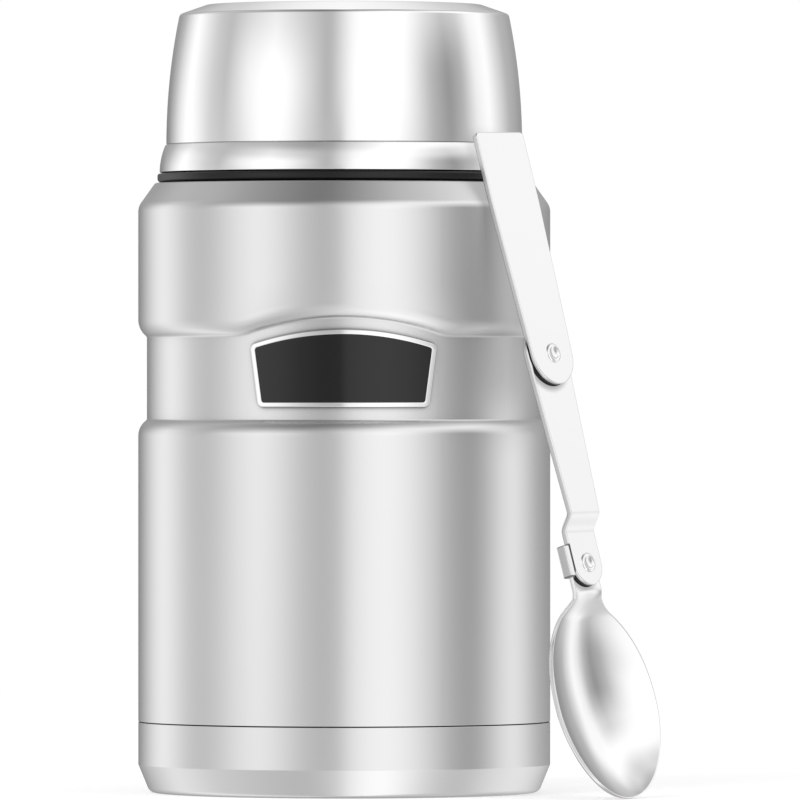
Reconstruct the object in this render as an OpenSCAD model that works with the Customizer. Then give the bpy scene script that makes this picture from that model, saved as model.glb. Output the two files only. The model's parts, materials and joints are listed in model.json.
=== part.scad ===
// Insulated food jar: vacuum jar with a formed waist, screw stopper,
// double-wall serving-bowl lid and a three-leaf folding spoon that leans on the shoulder.
// Millimetres. The jar stands on z = 0 with its axis on Z; the badge faces -Y.

/* [Jar body] */
// Outside diameter of the body
body_d = 102; // [98:0.5:112]
// Height of the seam between base cup and body
base_seam_z = 17.4; // [14:0.2:17.6]
// Sheet thickness of the outer shell
shell_wall = 0.6; // [0.4:0.05:0.8]
// Depth of the formed waist
waist_depth = 2.14; // [1.4:0.02:2.4]
// Height at which the lower waist step begins
waist_low_z = 88.2; // [86:0.1:89]
// Height of the waist, from there to where the upper step is back at full diameter
waist_h = 28.7; // [28:0.1:31]
// Rounding of the lower waist step
low_step_round = 4.7; // [4:0.1:5.5]
// Rounding of the upper waist step and of the arch
high_step_round = 5.2; // [4.6:0.1:5.6]
// Height of the shoulder, from where it starts to turn in up to the rim
shoulder_h = 7.4; // [7:0.1:8.5]
// Rounding between body and shoulder cone
shoulder_round = 4; // [2.5:0.1:4.5]
// Slope of the shoulder cone from the vertical
shoulder_slope = 35.5; // [33:0.5:38]
// Height of the mouth rim
rim_z = 151; // [150.5:0.1:152]
// Rounding of the mouth rim
rim_round = 0.9; // [0.85:0.05:1.2]
// Width of the dark joint line above the base cup
seam_gap = 0.25; // [0.1:0.05:0.4]

/* [Arch over the badge] */
// Distance of the top of the arch above the badge
arch_gap = 2.9; // [2.2:0.1:3.4]
// Radius of the arch seen from the front
arch_radius = 72.3; // [65:0.1:80]

/* [Inner vessel] */
// Inside diameter of the food cavity
cavity_d = 90; // [84:0.5:91]
// Sheet thickness of the inner vessel
vessel_wall = 0.5; // [0.4:0.05:0.7]
// Height of the cavity floor
cavity_floor_z = 19; // [18.5:0.1:21]
// Rounding of the cavity floor
floor_round = 9; // [5:0.5:14]
// Inside diameter of the mouth
mouth_d = 77; // [74:0.5:78]
// Height of the mouth cylinder
mouth_h = 14; // [13.5:0.5:15]
// Height of the throat between cavity and mouth
throat_h = 8; // [7:0.5:11]
// Distance of the reflecting foil from the throat and from the floor's rounding
foil_margin = 2.5; // [2:0.5:15]
// Thickness of the reflecting foil
foil_wall = 0.2; // [0.1:0.05:0.3]

/* [Base] */
// Sheet thickness of the base cup
base_wall = 0.6; // [0.4:0.05:0.8]
// Height of the top of the base chamfer
chamfer_z = 6.9; // [6:0.1:8]
// Radius of the flat standing face
stand_r = 46.8; // [46.4:0.1:47.2]
// Rounding at the edge of the standing face
stand_round = 2; // [1.5:0.1:2.3]
// Slope of the base chamfer from the vertical
chamfer_slope = 22.5; // [20:0.5:25]
// Radius of the stiffening bead pressed into the base
bead_r = 31; // [25:0.5:38]
// Width of the top of the stiffening bead
bead_w = 3; // [2:0.2:5]
// Run of each flank of the stiffening bead
bead_flank = 1; // [0.6:0.1:1.5]
// Depth of the stiffening bead
bead_depth = 0.6; // [0.3:0.1:1]
// Height of the vacuum end plate
end_plate_z = 8; // [7.6:0.1:8.5]
// Height of the welded skirt of the end plate
skirt_h = 5; // [3:0.5:6]
// Rounding between the end plate and its skirt
skirt_round = 3; // [2:0.1:3]
// Radius of the evacuation recess
recess_r = 12; // [9:0.5:16]
// Depth of the evacuation recess
recess_depth = 2; // [1:0.1:2.5]
// Diameter of the evacuation hole
tip_hole_d = 3; // [2:0.1:4]
// Diameter of the sealing bead over the evacuation hole
seal_d = 8; // [6:0.2:10]
// Height of the sealing bead
seal_h = 1.2; // [0.8:0.1:1.6]
// Diameter of the getter pellet
getter_d = 8; // [6:0.5:10]
// Height of the getter pellet
getter_h = 2.4; // [1.8:0.1:2.8]
// Distance of the getter pellet from the axis
getter_offset = 24; // [18:1:30]
// Thickness of the getter strap
strap_wall = 0.4; // [0.3:0.05:0.6]
// Width of the getter strap
strap_w = 3; // [2:0.2:5]
// Length of each welded foot of the getter strap
strap_foot = 3.4; // [2:0.2:5]

/* [Badge] */
// Width of the badge at its upper corners
badge_top_w = 45.4; // [44:0.2:47]
// Width of the badge at its lower edge
badge_low_w = 41.8; // [40:0.2:43]
// Distance of the badge's lower edge above the lower waist step
badge_rise = 7.2; // [7:0.1:9]
// Height of the badge at its upper corners
badge_h = 15.2; // [14:0.1:15.4]
// Rise of the badge's crown above its upper corners
badge_crown = 3.7; // [3:0.1:4.4]
// Corner rounding of the badge
badge_round = 1.3; // [0.8:0.1:2]
// Width of the bright border
badge_border = 1.15; // [0.8:0.05:1.4]
// Thickness of the badge plate
badge_wall = 0.9; // [0.7:0.05:1.1]
// Depth of the pocket that holds the black panel
badge_pocket = 0.5; // [0.3:0.05:0.5]

/* [Stopper] */
// Diameter of the flange that shows between jar and lid
flange_d = 92.5; // [91:0.1:92.6]
// Thickness of the flange
flange_h = 2; // [1.6:0.1:2.4]
// Edge rounding of the flange
flange_round = 0.7; // [0.3:0.05:0.75]
// Wall thickness of the moulded stopper
stopper_wall = 2.2; // [1.8:0.1:2.6]
// Depth of the plug below the flange
plug_depth = 19.8; // [18.5:0.1:21]
// Rounding between the plug's side and its bottom
plug_round = 3; // [1:0.1:4]
// Height of the collar that the lid screws on
collar_h = 7.7; // [7:0.1:8]
// Outside diameter of the collar
collar_d = 82; // [80:0.2:82.4]
// Rounding of the collar's upper edge
collar_round = 0.5; // [0.2:0.05:1]
// Distance of the gasket's lower edge below the flange
gasket_drop = 11.8; // [10.5:0.1:13]
// Height of the gasket
gasket_h = 3; // [2:0.1:4]
// Thickness of the gasket, lips included
gasket_wall = 1.2; // [1:0.05:1.4]
// Depth of the gasket's lips
gasket_lip = 0.5; // [0.2:0.05:0.6]
// Depth of the groove that holds the gasket
groove_depth = 0.6; // [0.4:0.05:0.8]
// Length of the spoon well in the deck
well_l = 68; // [66:0.5:70]
// Width of the spoon well in the deck
well_w = 40; // [38:0.5:44]
// Depth of the spoon well
well_depth = 5.5; // [4.8:0.1:5.6]
// Thickness of the deck
deck_wall = 1.8; // [1.5:0.1:2]
// Setback of the deck below the collar's upper edge
deck_set = 0.4; // [0.2:0.1:0.8]

/* [Lid] */
// Height of the lid
lid_h = 41.3; // [40:0.1:44.5]
// Outside diameter of the lid at its lower edge
lid_low_d = 91.4; // [91:0.1:92]
// Outside diameter of the lid above the band
lid_d = 88.1; // [87.8:0.1:88.6]
// Height of the flared band, up to the line between band and barrel
band_h = 6.9; // [6.5:0.1:7.5]
// Radius of the flared band in side view
band_arc = 17; // [16:0.5:19]
// Radius of the barrel in side view
barrel_arc = 159; // [140:1:180]
// Rounding of the upper edge of the lid
lid_round = 2.2; // [1.5:0.1:2.6]
// Width of the cone around the flat top disc
top_cone_w = 3.2; // [2:0.1:5]
// Drop of the cone around the top disc
top_drop = 1; // [0.6:0.1:1.4]
// Height of the edge of the top disc
disc_step = 0.4; // [0.2:0.05:0.5]
// Sheet thickness of the lid skin
lid_wall = 0.6; // [0.4:0.05:0.7]
// Sheet thickness of the serving bowl
bowl_wall = 0.5; // [0.4:0.05:0.6]
// Space between the lid skin and the floor of the serving bowl
bowl_space = 2.2; // [1.8:0.1:4]
// Rounding of the serving bowl's floor
bowl_round = 9; // [6:0.5:12]
// Space between the lid skin and the serving bowl at its mouth
bowl_mouth_space = 0.9; // [0.8:0.05:1.2]
// Space between the lid skin and the serving bowl where its floor rounding starts
bowl_side_space = 1.3; // [1:0.05:2]
// Height of the threaded ring inside the lid
ring_h = 9.4; // [9:0.1:10.5]
// Height of the ring's foot, which follows the flared band
ring_foot_h = 2; // [1.5:0.1:3]
// Chamfer at the ring's upper inner edge
ring_chamfer = 0.4; // [0.2:0.05:0.8]

/* [Folding spoon] */
// Thickness of the spoon leaves
leaf_t = 1.5; // [1.2:0.05:1.6]
// Length of the handle leaf above its rivet
handle_l = 56.6; // [50:0.1:57.5]
// Width of the handle leaf at its end
handle_w = 18.2; // [16:0.2:19]
// Width of the handle leaf at its rivet
handle_pivot_w = 15.4; // [14:0.2:16]
// Length over which the handle leaf keeps its full width
handle_full_l = 18; // [10:1:25]
// Corner rounding of the handle leaf
handle_round = 1.2; // [0.5:0.1:3]
// Distance between the two rivets
link_l = 51.9; // [50:0.1:54]
// Width of the link leaf at the upper rivet
link_w = 13.2; // [12:0.2:14]
// Width of the link leaf at the lower rivet
link_low_w = 11; // [10:0.1:11.4]
// Offset of the joggle in the link leaf
joggle = 3.1; // [2.6:0.1:3.4]
// Distance of the joggle's upper bend from the upper rivet
joggle_at = 40.2; // [38:0.1:41]
// Length of the joggle along the leaf
joggle_l = 3.6; // [3:0.1:4.5]
// Distance from the lower rivet to the tip of the spoon bowl
tip_l = 58.4; // [56:0.1:61]
// Width of the spoon's neck
neck_w = 10.4; // [9:0.2:11]
// Distance from the lower rivet to the end of the neck
neck_l = 8; // [7:0.1:9]
// Width of the spoon bowl
bowl_w = 38; // [35:0.2:39]
// Distance from the lower rivet to the widest place of the spoon bowl
bowl_wide_at = 35; // [33:0.2:37]
// Depth of the spoon bowl
bowl_depth = 8; // [6:0.1:9]
// Setback of the spoon bowl's rim behind its neck
rim_setback = 2.2; // [1:0.1:3]
// Length over which the rim drops back below the neck
rim_drop_l = 5; // [3:0.5:12]
// Softness of the corners between neck and bowl
neck_blend = 4; // [1:0.5:5]
// Thickness of the spoon bowl
bowl_t = 1.2; // [1:0.05:1.4]
// Length of the stop tab
tab_l = 8.4; // [6:0.2:9]
// Thickness of the stop tab
tab_t = 1.5; // [1.2:0.1:1.8]
// Diameter of the rivet shafts
rivet_d = 3; // [2.4:0.1:3.2]
// Diameter of the rivet heads
rivet_head_d = 4.9; // [4.2:0.1:5.4]
// Height of the rivet heads
rivet_head_h = 0.7; // [0.5:0.05:0.9]
// Diameter of the dished middle of each rivet head
dimple_d = 3.3; // [2:0.1:3.6]

/* [Place of the spoon] */
// Turn of the spoon around the jar, from the front towards +X
spoon_turn = 50; // [35:1:60]
// Lean of the spoon from the vertical
spoon_lean = 16.5; // [15:0.1:16.8]
// Roll of the spoon in its own plane
spoon_roll = 1; // [0:0.1:2]
// Sideways place of the upper rivet
spoon_shift = 3.1; // [0:0.1:6]

/* [Clearances] */
// Gap between nested sheets and mouldings of one body
seat_gap = 0.06; // [0.04:0.01:0.1]
// Gap between the flange and the closed lid
lid_gap = 0.2; // [0.1:0.05:0.3]
// Radial gap between the plug and the mouth
plug_gap = 1.1; // [1:0.05:1.4]
// Gap between pieces that come apart
free_gap = 0.3; // [0.2:0.05:0.4]
// Radial running clearance of the rivets
rivet_gap = 0.05; // [0.03:0.01:0.1]
// Gap between the spoon leaves
leaf_gap = 0.1; // [0.05:0.01:0.2]
// Gap between the leaning spoon and the shoulder
lean_gap = 0.95; // [0.9:0.01:0.98]

/* [Hidden] */
$fn = 96;

eps = 0.02;
arc_steps = 8;
steel = [0.76, 0.76, 0.77];
bright = [0.86, 0.86, 0.87];
black = [0.06, 0.06, 0.07];

// Jar body
body_r = body_d / 2;
waist_r = body_r - waist_depth;
low_r = body_r - base_wall - seat_gap;
shell_foot_z = end_plate_z;
waist_high_z = waist_low_z + waist_h;
shoulder_z = rim_z - shoulder_h;
throat_high_z = rim_z - mouth_h;
throat_low_z = throat_high_z - throat_h;
foil_low_z = cavity_floor_z + floor_round + foil_margin;
foil_high_z = throat_low_z - foil_margin;
badge_low_z = waist_low_z + badge_rise;
badge_corner_z = badge_low_z + badge_h;
badge_peak_z = badge_corner_z + badge_crown;
arch_peak_z = badge_peak_z + arch_gap;
cavity_r = cavity_d / 2;
vessel_r = cavity_r + vessel_wall;
mouth_r = mouth_d / 2;
neck_r = mouth_r + vessel_wall;

// Stopper, from the rim up
flange_z = rim_z + free_gap;
flange_top = flange_z + flange_h;
flange_r = flange_d / 2;
plug_r = mouth_r - plug_gap;
plug_floor = flange_z - plug_depth;
gasket_z = flange_z - gasket_drop;
collar_r = collar_d / 2;
collar_top = flange_top + collar_h;
well_floor = collar_top - well_depth;
foam_top = well_floor - deck_wall - seat_gap;
deck_r = collar_r - stopper_wall - seat_gap;

// Lid, from the flange up
lid_z = flange_top + lid_gap;
lid_low_r = lid_low_d / 2;
lid_r = lid_d / 2;
lid_line_z = lid_z + band_h;
total_h = lid_z + lid_h;
ring_r = collar_r + free_gap;
ring_top = lid_z + ring_h;
cone_z = total_h - disc_step - top_drop;
cone_slope = atan(top_drop / top_cone_w);
bowl_floor_z = total_h - lid_wall - bowl_space;

// Spoon: local x across the leaf, y up the leaf, z out of its face; the origin is the
// centre of the upper rivet on the front face of the handle leaf
link_front = -leaf_t - leaf_gap;
low_front = link_front - joggle;
neck_front = low_front - leaf_t - leaf_gap;
neck_back = neck_front - leaf_t;
rim_front = neck_front - rim_setback;
rivet_r = rivet_d / 2;
tab_x = link_low_w / 2 + 2 * leaf_gap;
floor_gap = 0.05;
support = (body_r - shoulder_round) * cos(spoon_lean) + shoulder_z * sin(spoon_lean)
          + shoulder_round + lean_gap + leaf_t;
pivot_z = floor_gap + (link_l + tip_l) * cos(spoon_lean) * cos(spoon_roll)
          + (bowl_t - rim_front) * sin(spoon_lean);
pivot_out = (support - pivot_z * sin(spoon_lean)) / cos(spoon_lean);

// Points along an arc in a side view, from angle a to angle b
function arc(x, z, r, a, b, n = arc_steps) =
    [for (i = [0:n]) let (t = a + (b - a) * i / n) [x + r * cos(t), z + r * sin(t)]];

// A list without its first point, for an arc that goes on from another
function onward(points) = [for (p = [1:len(points) - 1]) points[p]];

// ---- Jar body ----

// Angle at which a rounded waist step of radius r, drawn inset by i, meets the waist
function step_angle(r, i) = acos((waist_r - body_r + r - i) / (r - i));

// Centre radius of the rim rounding, on the line of the shoulder cone
rim_cx = body_r - shoulder_round
         + (shoulder_round - rim_round - (rim_z - rim_round - shoulder_z) * sin(shoulder_slope))
           / cos(shoulder_slope);

// Outline of the outer shell, inset by i, from the foot to the mouth
function shell_outline(i) = concat(
    [[low_r - i, base_seam_z + seam_gap + i], [body_r - i, base_seam_z + seam_gap + i]],
    arc(body_r - low_step_round, waist_low_z, low_step_round - i, 0, step_angle(low_step_round, i)),
    arc(body_r - high_step_round, waist_high_z, high_step_round - i,
        -step_angle(high_step_round, i), 0),
    arc(body_r - shoulder_round, shoulder_z, shoulder_round - i, 0, shoulder_slope),
    arc(rim_cx, rim_z - rim_round, rim_round - i, shoulder_slope, 90));

module shell_form(i, foot) {
    rotate_extrude()
        polygon(concat([[0, foot], [low_r - i, foot]], shell_outline(i), [[0, rim_z - i]]));
}

// Front-view geometry of the arch: rows at distance d from the arch line, columns at angle a
arch_cz = arch_peak_z - arch_radius;
arch_span = 24;
arch_columns = 26;
arch_rows = 8;
blend_l = sqrt(pow(high_step_round, 2) - pow(high_step_round - waist_depth, 2));
relief_low_z = waist_high_z - blend_l - 0.4;

// Radius of the relief surface, inset by i, at distance d above the arch line
function relief_r(d, i) =
    let (r = high_step_round - i, q = min(r, max(0, blend_l - d)))
    max(waist_r - i + eps, body_r - high_step_round + sqrt(r * r - q * q) + 0.06 * d / blend_l);

function relief_d(j, i) =
    let (r = high_step_round - i,
         foot = blend_l - sqrt(r * r - pow(waist_r - i - body_r + high_step_round, 2)))
    foot + (blend_l + 0.8 - foot) * pow(j / arch_rows, 1.3);

function relief_point(j, k, i) =
    let (a = arch_span * (2 * k / arch_columns - 1), d = j < 0 ? relief_d(0, i) : relief_d(j, i),
         x = (arch_radius + d) * sin(a), z = arch_cz + (arch_radius + d) * cos(a),
         r = j < 0 ? waist_r - i + eps : relief_r(d, i))
    [x, -sqrt(r * r - x * x), j < 0 ? min(relief_low_z, z - 0.4) : z];

// Everything in front of the relief surface: it runs forward to a flat plane
module arch_cutter(i) {
    columns = arch_columns + 1;
    rows = arch_rows + 2;
    front = -body_r - 1;
    skin = [for (j = [-1:arch_rows], k = [0:arch_columns]) relief_point(j, k, i)];
    loop = concat([for (k = [0:arch_columns]) k],
                  [for (j = [1:rows - 1]) j * columns + arch_columns],
                  [for (k = [arch_columns - 1:-1:0]) (rows - 1) * columns + k],
                  [for (j = [rows - 2:-1:1]) j * columns]);
    n = len(skin);
    m = len(loop);
    rim = [for (v = loop) [skin[v][0], front, skin[v][2]]];
    skin_faces = [for (j = [0:rows - 2], k = [0:arch_columns - 1], h = [0, 1])
                  let (v = j * columns + k)
                  h == 0 ? [v, v + 1, v + columns] : [v + 1, v + columns + 1, v + columns]];
    wall_faces = [for (p = [0:m - 1]) let (q = (p + 1) % m) [loop[q], loop[p], n + p, n + q]];
    polyhedron(concat(skin, rim), concat(skin_faces, wall_faces,
               [[for (p = [m - 1:-1:0]) n + p]]), convexity = 6);
}

module outer_shell() {
    color(steel) difference() {
        shell_form(0, shell_foot_z);
        arch_cutter(0);
        difference() {
            shell_form(shell_wall, shell_foot_z - 1);
            arch_cutter(shell_wall);
        }
        cylinder(r = neck_r + seat_gap, h = rim_z + 1);
    }
}

// Outline of the inner vessel's cavity, grown by i
function vessel_outline(i) = concat(
    [[0, cavity_floor_z - i]],
    arc(cavity_r - floor_round, cavity_floor_z + floor_round, floor_round + i, -90, 0),
    [[cavity_r + i, throat_low_z],
     [(cavity_r + mouth_r) / 2 + i, (throat_low_z + 2 * throat_high_z) / 3],
     [mouth_r + i, throat_high_z]]);

module inner_vessel() {
    color(bright) rotate_extrude() difference() {
        polygon(concat(vessel_outline(vessel_wall), [[neck_r, rim_z], [0, rim_z]]));
        polygon(concat(vessel_outline(0), [[mouth_r, rim_z + 1], [0, rim_z + 1]]));
    }
}

// Pressed plate welded into the foot of the shell, with a recess round the evacuation hole
module end_plate() {
    r = low_r - shell_wall - seat_gap;
    top = end_plate_z + skirt_h;
    w = shell_wall;
    sr = skirt_round;
    color(steel) rotate_extrude() polygon(concat(
        [[tip_hole_d / 2, end_plate_z + recess_depth], [recess_r, end_plate_z + recess_depth],
         [recess_r + recess_depth, end_plate_z]],
        arc(r - sr, end_plate_z + sr, sr, -90, 0), [[r, top], [r - w, top]],
        arc(r - sr, end_plate_z + sr, sr - w, 0, -90),
        [[recess_r + recess_depth + w, end_plate_z + w],
         [recess_r + w, end_plate_z + recess_depth + w],
         [tip_hole_d / 2, end_plate_z + recess_depth + w]]));
}

// Bead of solder that closes the evacuation hole from below, with its stem in the hole
module vacuum_seal() {
    top = end_plate_z + recess_depth;
    r = seal_h * 2 / 3;
    color("dimgray") rotate_extrude() polygon(concat(
        [[0, top - seal_h]], arc(seal_d / 2 - r, top - seal_h + r, r, -90, 0, 4),
        [[seal_d / 2, top], [tip_hole_d / 2 - seat_gap, top],
         [tip_hole_d / 2 - seat_gap, top + shell_wall], [0, top + shell_wall]]));
}

getter_top = cavity_floor_z - vessel_wall;

module getter() {
    color("gray") translate([getter_offset, 0, getter_top - strap_wall - getter_h])
        cylinder(d = getter_d, h = getter_h);
}

// Strip that clips the pellet under the vessel, bent round it and spot-welded at both ends
module getter_strap() {
    low = getter_h + 2 * strap_wall + seat_gap;
    inner = getter_d / 2 + seat_gap;
    reach = inner + strap_wall + strap_foot;
    outline = [[-reach, 0], [reach, 0], [reach, -strap_wall], [inner + strap_wall, -strap_wall],
               [inner + strap_wall, -low], [-inner - strap_wall, -low],
               [-inner - strap_wall, -strap_wall], [-reach, -strap_wall]];
    color(steel) translate([getter_offset, 0, getter_top]) rotate([90, 0, 0])
        linear_extrude(strap_w, center = true) difference() {
            polygon(outline);
            translate([-inner, -strap_wall - getter_h - seat_gap])
                square([2 * inner, getter_h + seat_gap]);
        }
}

module radiation_foil() {
    r = vessel_r + seat_gap;
    color("peru") translate([0, 0, foil_low_z]) difference() {
        cylinder(r = r + foil_wall, h = foil_high_z - foil_low_z);
        translate([0, 0, -1]) cylinder(r = r, h = foil_high_z - foil_low_z + 2);
    }
}

// Outline of the base cup, inset by i, with the pressed bead in its flat bottom
function base_outline(i) = concat(
    [[0, i], [bead_r - bead_w / 2 - bead_flank, i], [bead_r - bead_w / 2, i + bead_depth],
     [bead_r + bead_w / 2, i + bead_depth], [bead_r + bead_w / 2 + bead_flank, i]],
    arc(stand_r, stand_round, stand_round - i, -90, -chamfer_slope),
    [[body_r - i, chamfer_z + i * tan(chamfer_slope / 2)]]);

module base_cup() {
    color(steel) rotate_extrude() difference() {
        polygon(concat(base_outline(0), [[body_r, base_seam_z], [0, base_seam_z]]));
        polygon(concat(base_outline(base_wall),
                       [[body_r - base_wall, base_seam_z + 1], [0, base_seam_z + 1]]));
    }
}

// ---- Badge ----

// Front outline of the badge, inset by i: a keystone with an arched crown and round corners
module badge_outline(i) {
    r = (pow(badge_top_w / 2, 2) + pow(badge_crown, 2)) / (2 * badge_crown);
    cr = badge_round - i / 2;
    side = (badge_top_w - badge_low_w) / 2 / badge_h;
    tilt = atan(side);
    inner = r - i - cr;
    low_z = badge_low_z + i + cr;
    low_x = badge_low_w / 2 + side * (low_z - badge_low_z) - (i + cr) / cos(tilt);
    top_x = badge_top_w / 2 - (i + cr) / cos(tilt);
    top_z = badge_peak_z - r + sqrt(inner * inner - top_x * top_x);
    crown_a = acos(top_x / inner);
    half = concat(arc(low_x, low_z, cr, -90, -tilt, 5), arc(top_x, top_z, cr, -tilt, crown_a, 5),
                  onward(arc(0, badge_peak_z - r, r - i, crown_a, 90, 7)));
    polygon(concat(half, [for (p = [len(half) - 2:-1:0]) [-half[p][0], half[p][1]]]));
}

module badge_slab(i, r0, r1) {
    intersection() {
        difference() {
            cylinder(r = r1, h = total_h);
            translate([0, 0, -1]) cylinder(r = r0, h = total_h + 2);
        }
        translate([0, -waist_r / 2, 0]) rotate([90, 0, 0]) linear_extrude(waist_r) badge_outline(i);
    }
}

badge_back = waist_r + seat_gap;
badge_face = badge_back + badge_wall;
pocket_r = badge_face - badge_pocket;

module badge_frame() {
    color(bright) difference() {
        badge_slab(0, badge_back, badge_face);
        badge_slab(badge_border, pocket_r, badge_face + 1);
    }
}

module badge_panel() {
    color(black) badge_slab(badge_border + seat_gap, pocket_r + seat_gap, badge_face - 0.1);
}

// ---- Stopper ----

gasket_r = plug_r - groove_depth;

// Moulded plug, flange and collar, open at the top
module stopper_body() {
    w = stopper_wall;
    color(black) rotate_extrude() difference() {
        polygon(concat(
            [[0, plug_floor]], arc(plug_r - plug_round, plug_floor + plug_round, plug_round, -90, 0),
            [[plug_r, gasket_z - seat_gap], [gasket_r, gasket_z - seat_gap],
             [gasket_r, gasket_z + gasket_h + seat_gap], [plug_r, gasket_z + gasket_h + seat_gap],
             [plug_r, flange_z]],
            arc(flange_r - flange_round, flange_z + flange_round, flange_round, -90, 0, 4),
            arc(flange_r - flange_round, flange_top - flange_round, flange_round, 0, 90, 4),
            [[collar_r, flange_top]],
            arc(collar_r - collar_round, collar_top - collar_round, collar_round, 0, 90, 4),
            [[0, collar_top]]));
        polygon([[-1, plug_floor + w], [plug_r - w, plug_floor + w],
                 [plug_r - w, foam_top], [collar_r - w, foam_top],
                 [collar_r - w, collar_top + 1], [-1, collar_top + 1]]);
    }
}

module well_outline(grow) {
    r = well_w / 2 + grow;
    half = (well_l - well_w) / 2;
    for (s = [-1, 1]) translate([s * half, 0]) circle(r = r);
    square([2 * half, 2 * r], center = true);
}

// Welded cover of the stopper: a disc with the well that stores the folded spoon
module stopper_deck() {
    color([0.1, 0.1, 0.11]) difference() {
        union() {
            translate([0, 0, collar_top - deck_wall - deck_set])
                cylinder(r = deck_r, h = deck_wall);
            translate([0, 0, well_floor - deck_wall])
                linear_extrude(well_depth + deck_wall - deck_set - eps) well_outline(deck_wall);
        }
        translate([0, 0, well_floor]) linear_extrude(well_depth + 1) well_outline(0);
    }
}

module stopper_foam() {
    low = plug_floor + stopper_wall + seat_gap;
    color("beige") translate([0, 0, low])
        cylinder(r = plug_r - stopper_wall - seat_gap, h = foam_top - low);
}

module stopper_gasket() {
    r = gasket_r + seat_gap;
    out = r + gasket_wall;
    lip = gasket_lip;
    color("dimgray") rotate_extrude() polygon([
        [r, gasket_z], [out - lip, gasket_z], [out, gasket_z + gasket_h / 3],
        [out - lip, gasket_z + gasket_h / 2], [out, gasket_z + gasket_h * 2 / 3],
        [out - lip, gasket_z + gasket_h], [r, gasket_z + gasket_h]]);
}

// ---- Lid ----

// Radius of the lid skin at height z, inset by i: flared band below the line, barrel above it
function band_x(z) = lid_low_r - band_arc + sqrt(pow(band_arc, 2) - pow(z - lid_z, 2));
function barrel_x(z) = lid_r - barrel_arc + sqrt(pow(barrel_arc, 2) - pow(z - lid_line_z, 2));

// Centre of the upper edge's rounding, which runs from the barrel's slope to the cone's
round_z = cone_z - lid_round * cos(cone_slope);
round_a = asin((round_z - lid_line_z) / (barrel_arc - lid_round));
round_x = lid_r - barrel_arc + (barrel_arc - lid_round) * cos(round_a);
top_disc_r = round_x + lid_round * sin(cone_slope) - top_cone_w;

// Outline of the lid skin, inset by i, from the lower edge to the axis
function lid_outline(i) = concat(
    [for (t = [0:6]) let (z = lid_z + (lid_line_z - lid_z) * t / 6) [band_x(z) - i, z]],
    arc(lid_r - barrel_arc, lid_line_z, barrel_arc - i, 0, round_a),
    onward(arc(round_x, round_z, lid_round - i, round_a, 90 - cone_slope, 6)),
    [[top_disc_r, total_h - disc_step - i], [top_disc_r - disc_step / 2, total_h - i],
     [0, total_h - i]]);

module lid_shell() {
    color(bright) rotate_extrude() difference() {
        polygon(concat([[0, lid_z]], lid_outline(0)));
        polygon(concat([[-1, lid_z - 1], [lid_low_r - lid_wall, lid_z - 1]], lid_outline(lid_wall),
                       [[-1, total_h - lid_wall]]));
    }
}

// The serving bowl follows the lid skin at its mouth and at its floor rounding
bowl_mouth_r = barrel_x(ring_top) - lid_wall - bowl_mouth_space;
bowl_low_r = barrel_x(bowl_floor_z - bowl_round) - lid_wall - bowl_side_space;

// Outline of the serving bowl, inset by i, from its mouth to its floor
function bowl_outline(i) = concat(
    [[bowl_mouth_r - i, ring_top + seat_gap]],
    arc(bowl_low_r - bowl_round, bowl_floor_z - bowl_round, bowl_round - i, 5, 90),
    [[0, bowl_floor_z - i]]);

module serving_bowl() {
    color(steel) rotate_extrude() difference() {
        polygon(concat([[0, ring_top + seat_gap]], bowl_outline(0)));
        polygon(concat([[0, ring_top - 1], [bowl_mouth_r - bowl_wall, ring_top - 1]],
                       bowl_outline(bowl_wall)));
    }
}

// Moulded ring that carries the lid's thread and closes the space between skin and bowl
module lid_ring() {
    foot_r = band_x(lid_z + ring_foot_h) - lid_wall - seat_gap;
    top_r = barrel_x(ring_top) - lid_wall - seat_gap;
    color(black) rotate_extrude() polygon([
        [ring_r, lid_z], [foot_r, lid_z], [foot_r, lid_z + ring_foot_h],
        [top_r, lid_z + ring_foot_h], [top_r, ring_top], [ring_r + ring_chamfer, ring_top],
        [ring_r, ring_top - ring_chamfer]]);
}

// ---- Folding spoon ----

// Places a spoon piece: leaning on the shoulder with the bowl's tip on the floor
module place_spoon() {
    rotate([0, 0, spoon_turn]) translate([spoon_shift, -pivot_out, pivot_z])
        rotate([90 - spoon_lean, 0, 0]) rotate([0, 0, spoon_roll]) children();
}

module leaf(front) {
    translate([0, 0, front - leaf_t]) linear_extrude(leaf_t) children();
}

module handle_outline() {
    half = handle_w / 2;
    r = handle_round;
    end = handle_l;
    circle(d = handle_pivot_w);
    polygon(concat(
        [[-handle_pivot_w / 2, 0], [handle_pivot_w / 2, 0], [half, end - handle_full_l]],
        arc(half - r, end - r, r, 0, 90, 4), arc(-half + r, end - r, r, 90, 180, 4),
        [[-half, end - handle_full_l]]));
}

module spoon_handle() {
    color(bright) place_spoon() difference() {
        leaf(0) handle_outline();
        translate([0, 0, -leaf_t - 1]) cylinder(r = rivet_r + rivet_gap, h = leaf_t + 2);
    }
}

// Side view of the link leaf, inset from its front face by t: two flats and the joggle
function link_side(t) = let (bend = t * tan(atan(joggle / joggle_l) / 2)) [
    [link_w, link_front - t], [-joggle_at + bend, link_front - t],
    [-joggle_at - joggle_l + bend, low_front - t], [-link_l - link_w, low_front - t]];

module link_outline() {
    polygon(concat(arc(0, 0, link_w / 2, 0, 180, 20), arc(0, -link_l, link_low_w / 2, 180, 360, 20)));
}

module spoon_link() {
    side = concat(link_side(0), [for (k = [3:-1:0]) link_side(leaf_t)[k]]);
    color(bright) place_spoon() difference() {
        intersection() {
            rotate([90, 0, 90]) linear_extrude(2 * link_w, center = true) polygon(side);
            translate([0, 0, low_front - 2 * leaf_t])
                linear_extrude(joggle + 4 * leaf_t) link_outline();
        }
        translate([0, 0, link_front - leaf_t - 1]) cylinder(r = rivet_r + eps, h = leaf_t + 2);
        translate([0, -link_l, low_front - leaf_t - 1])
            cylinder(r = rivet_r + rivet_gap, h = leaf_t + 2);
    }
}

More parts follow.
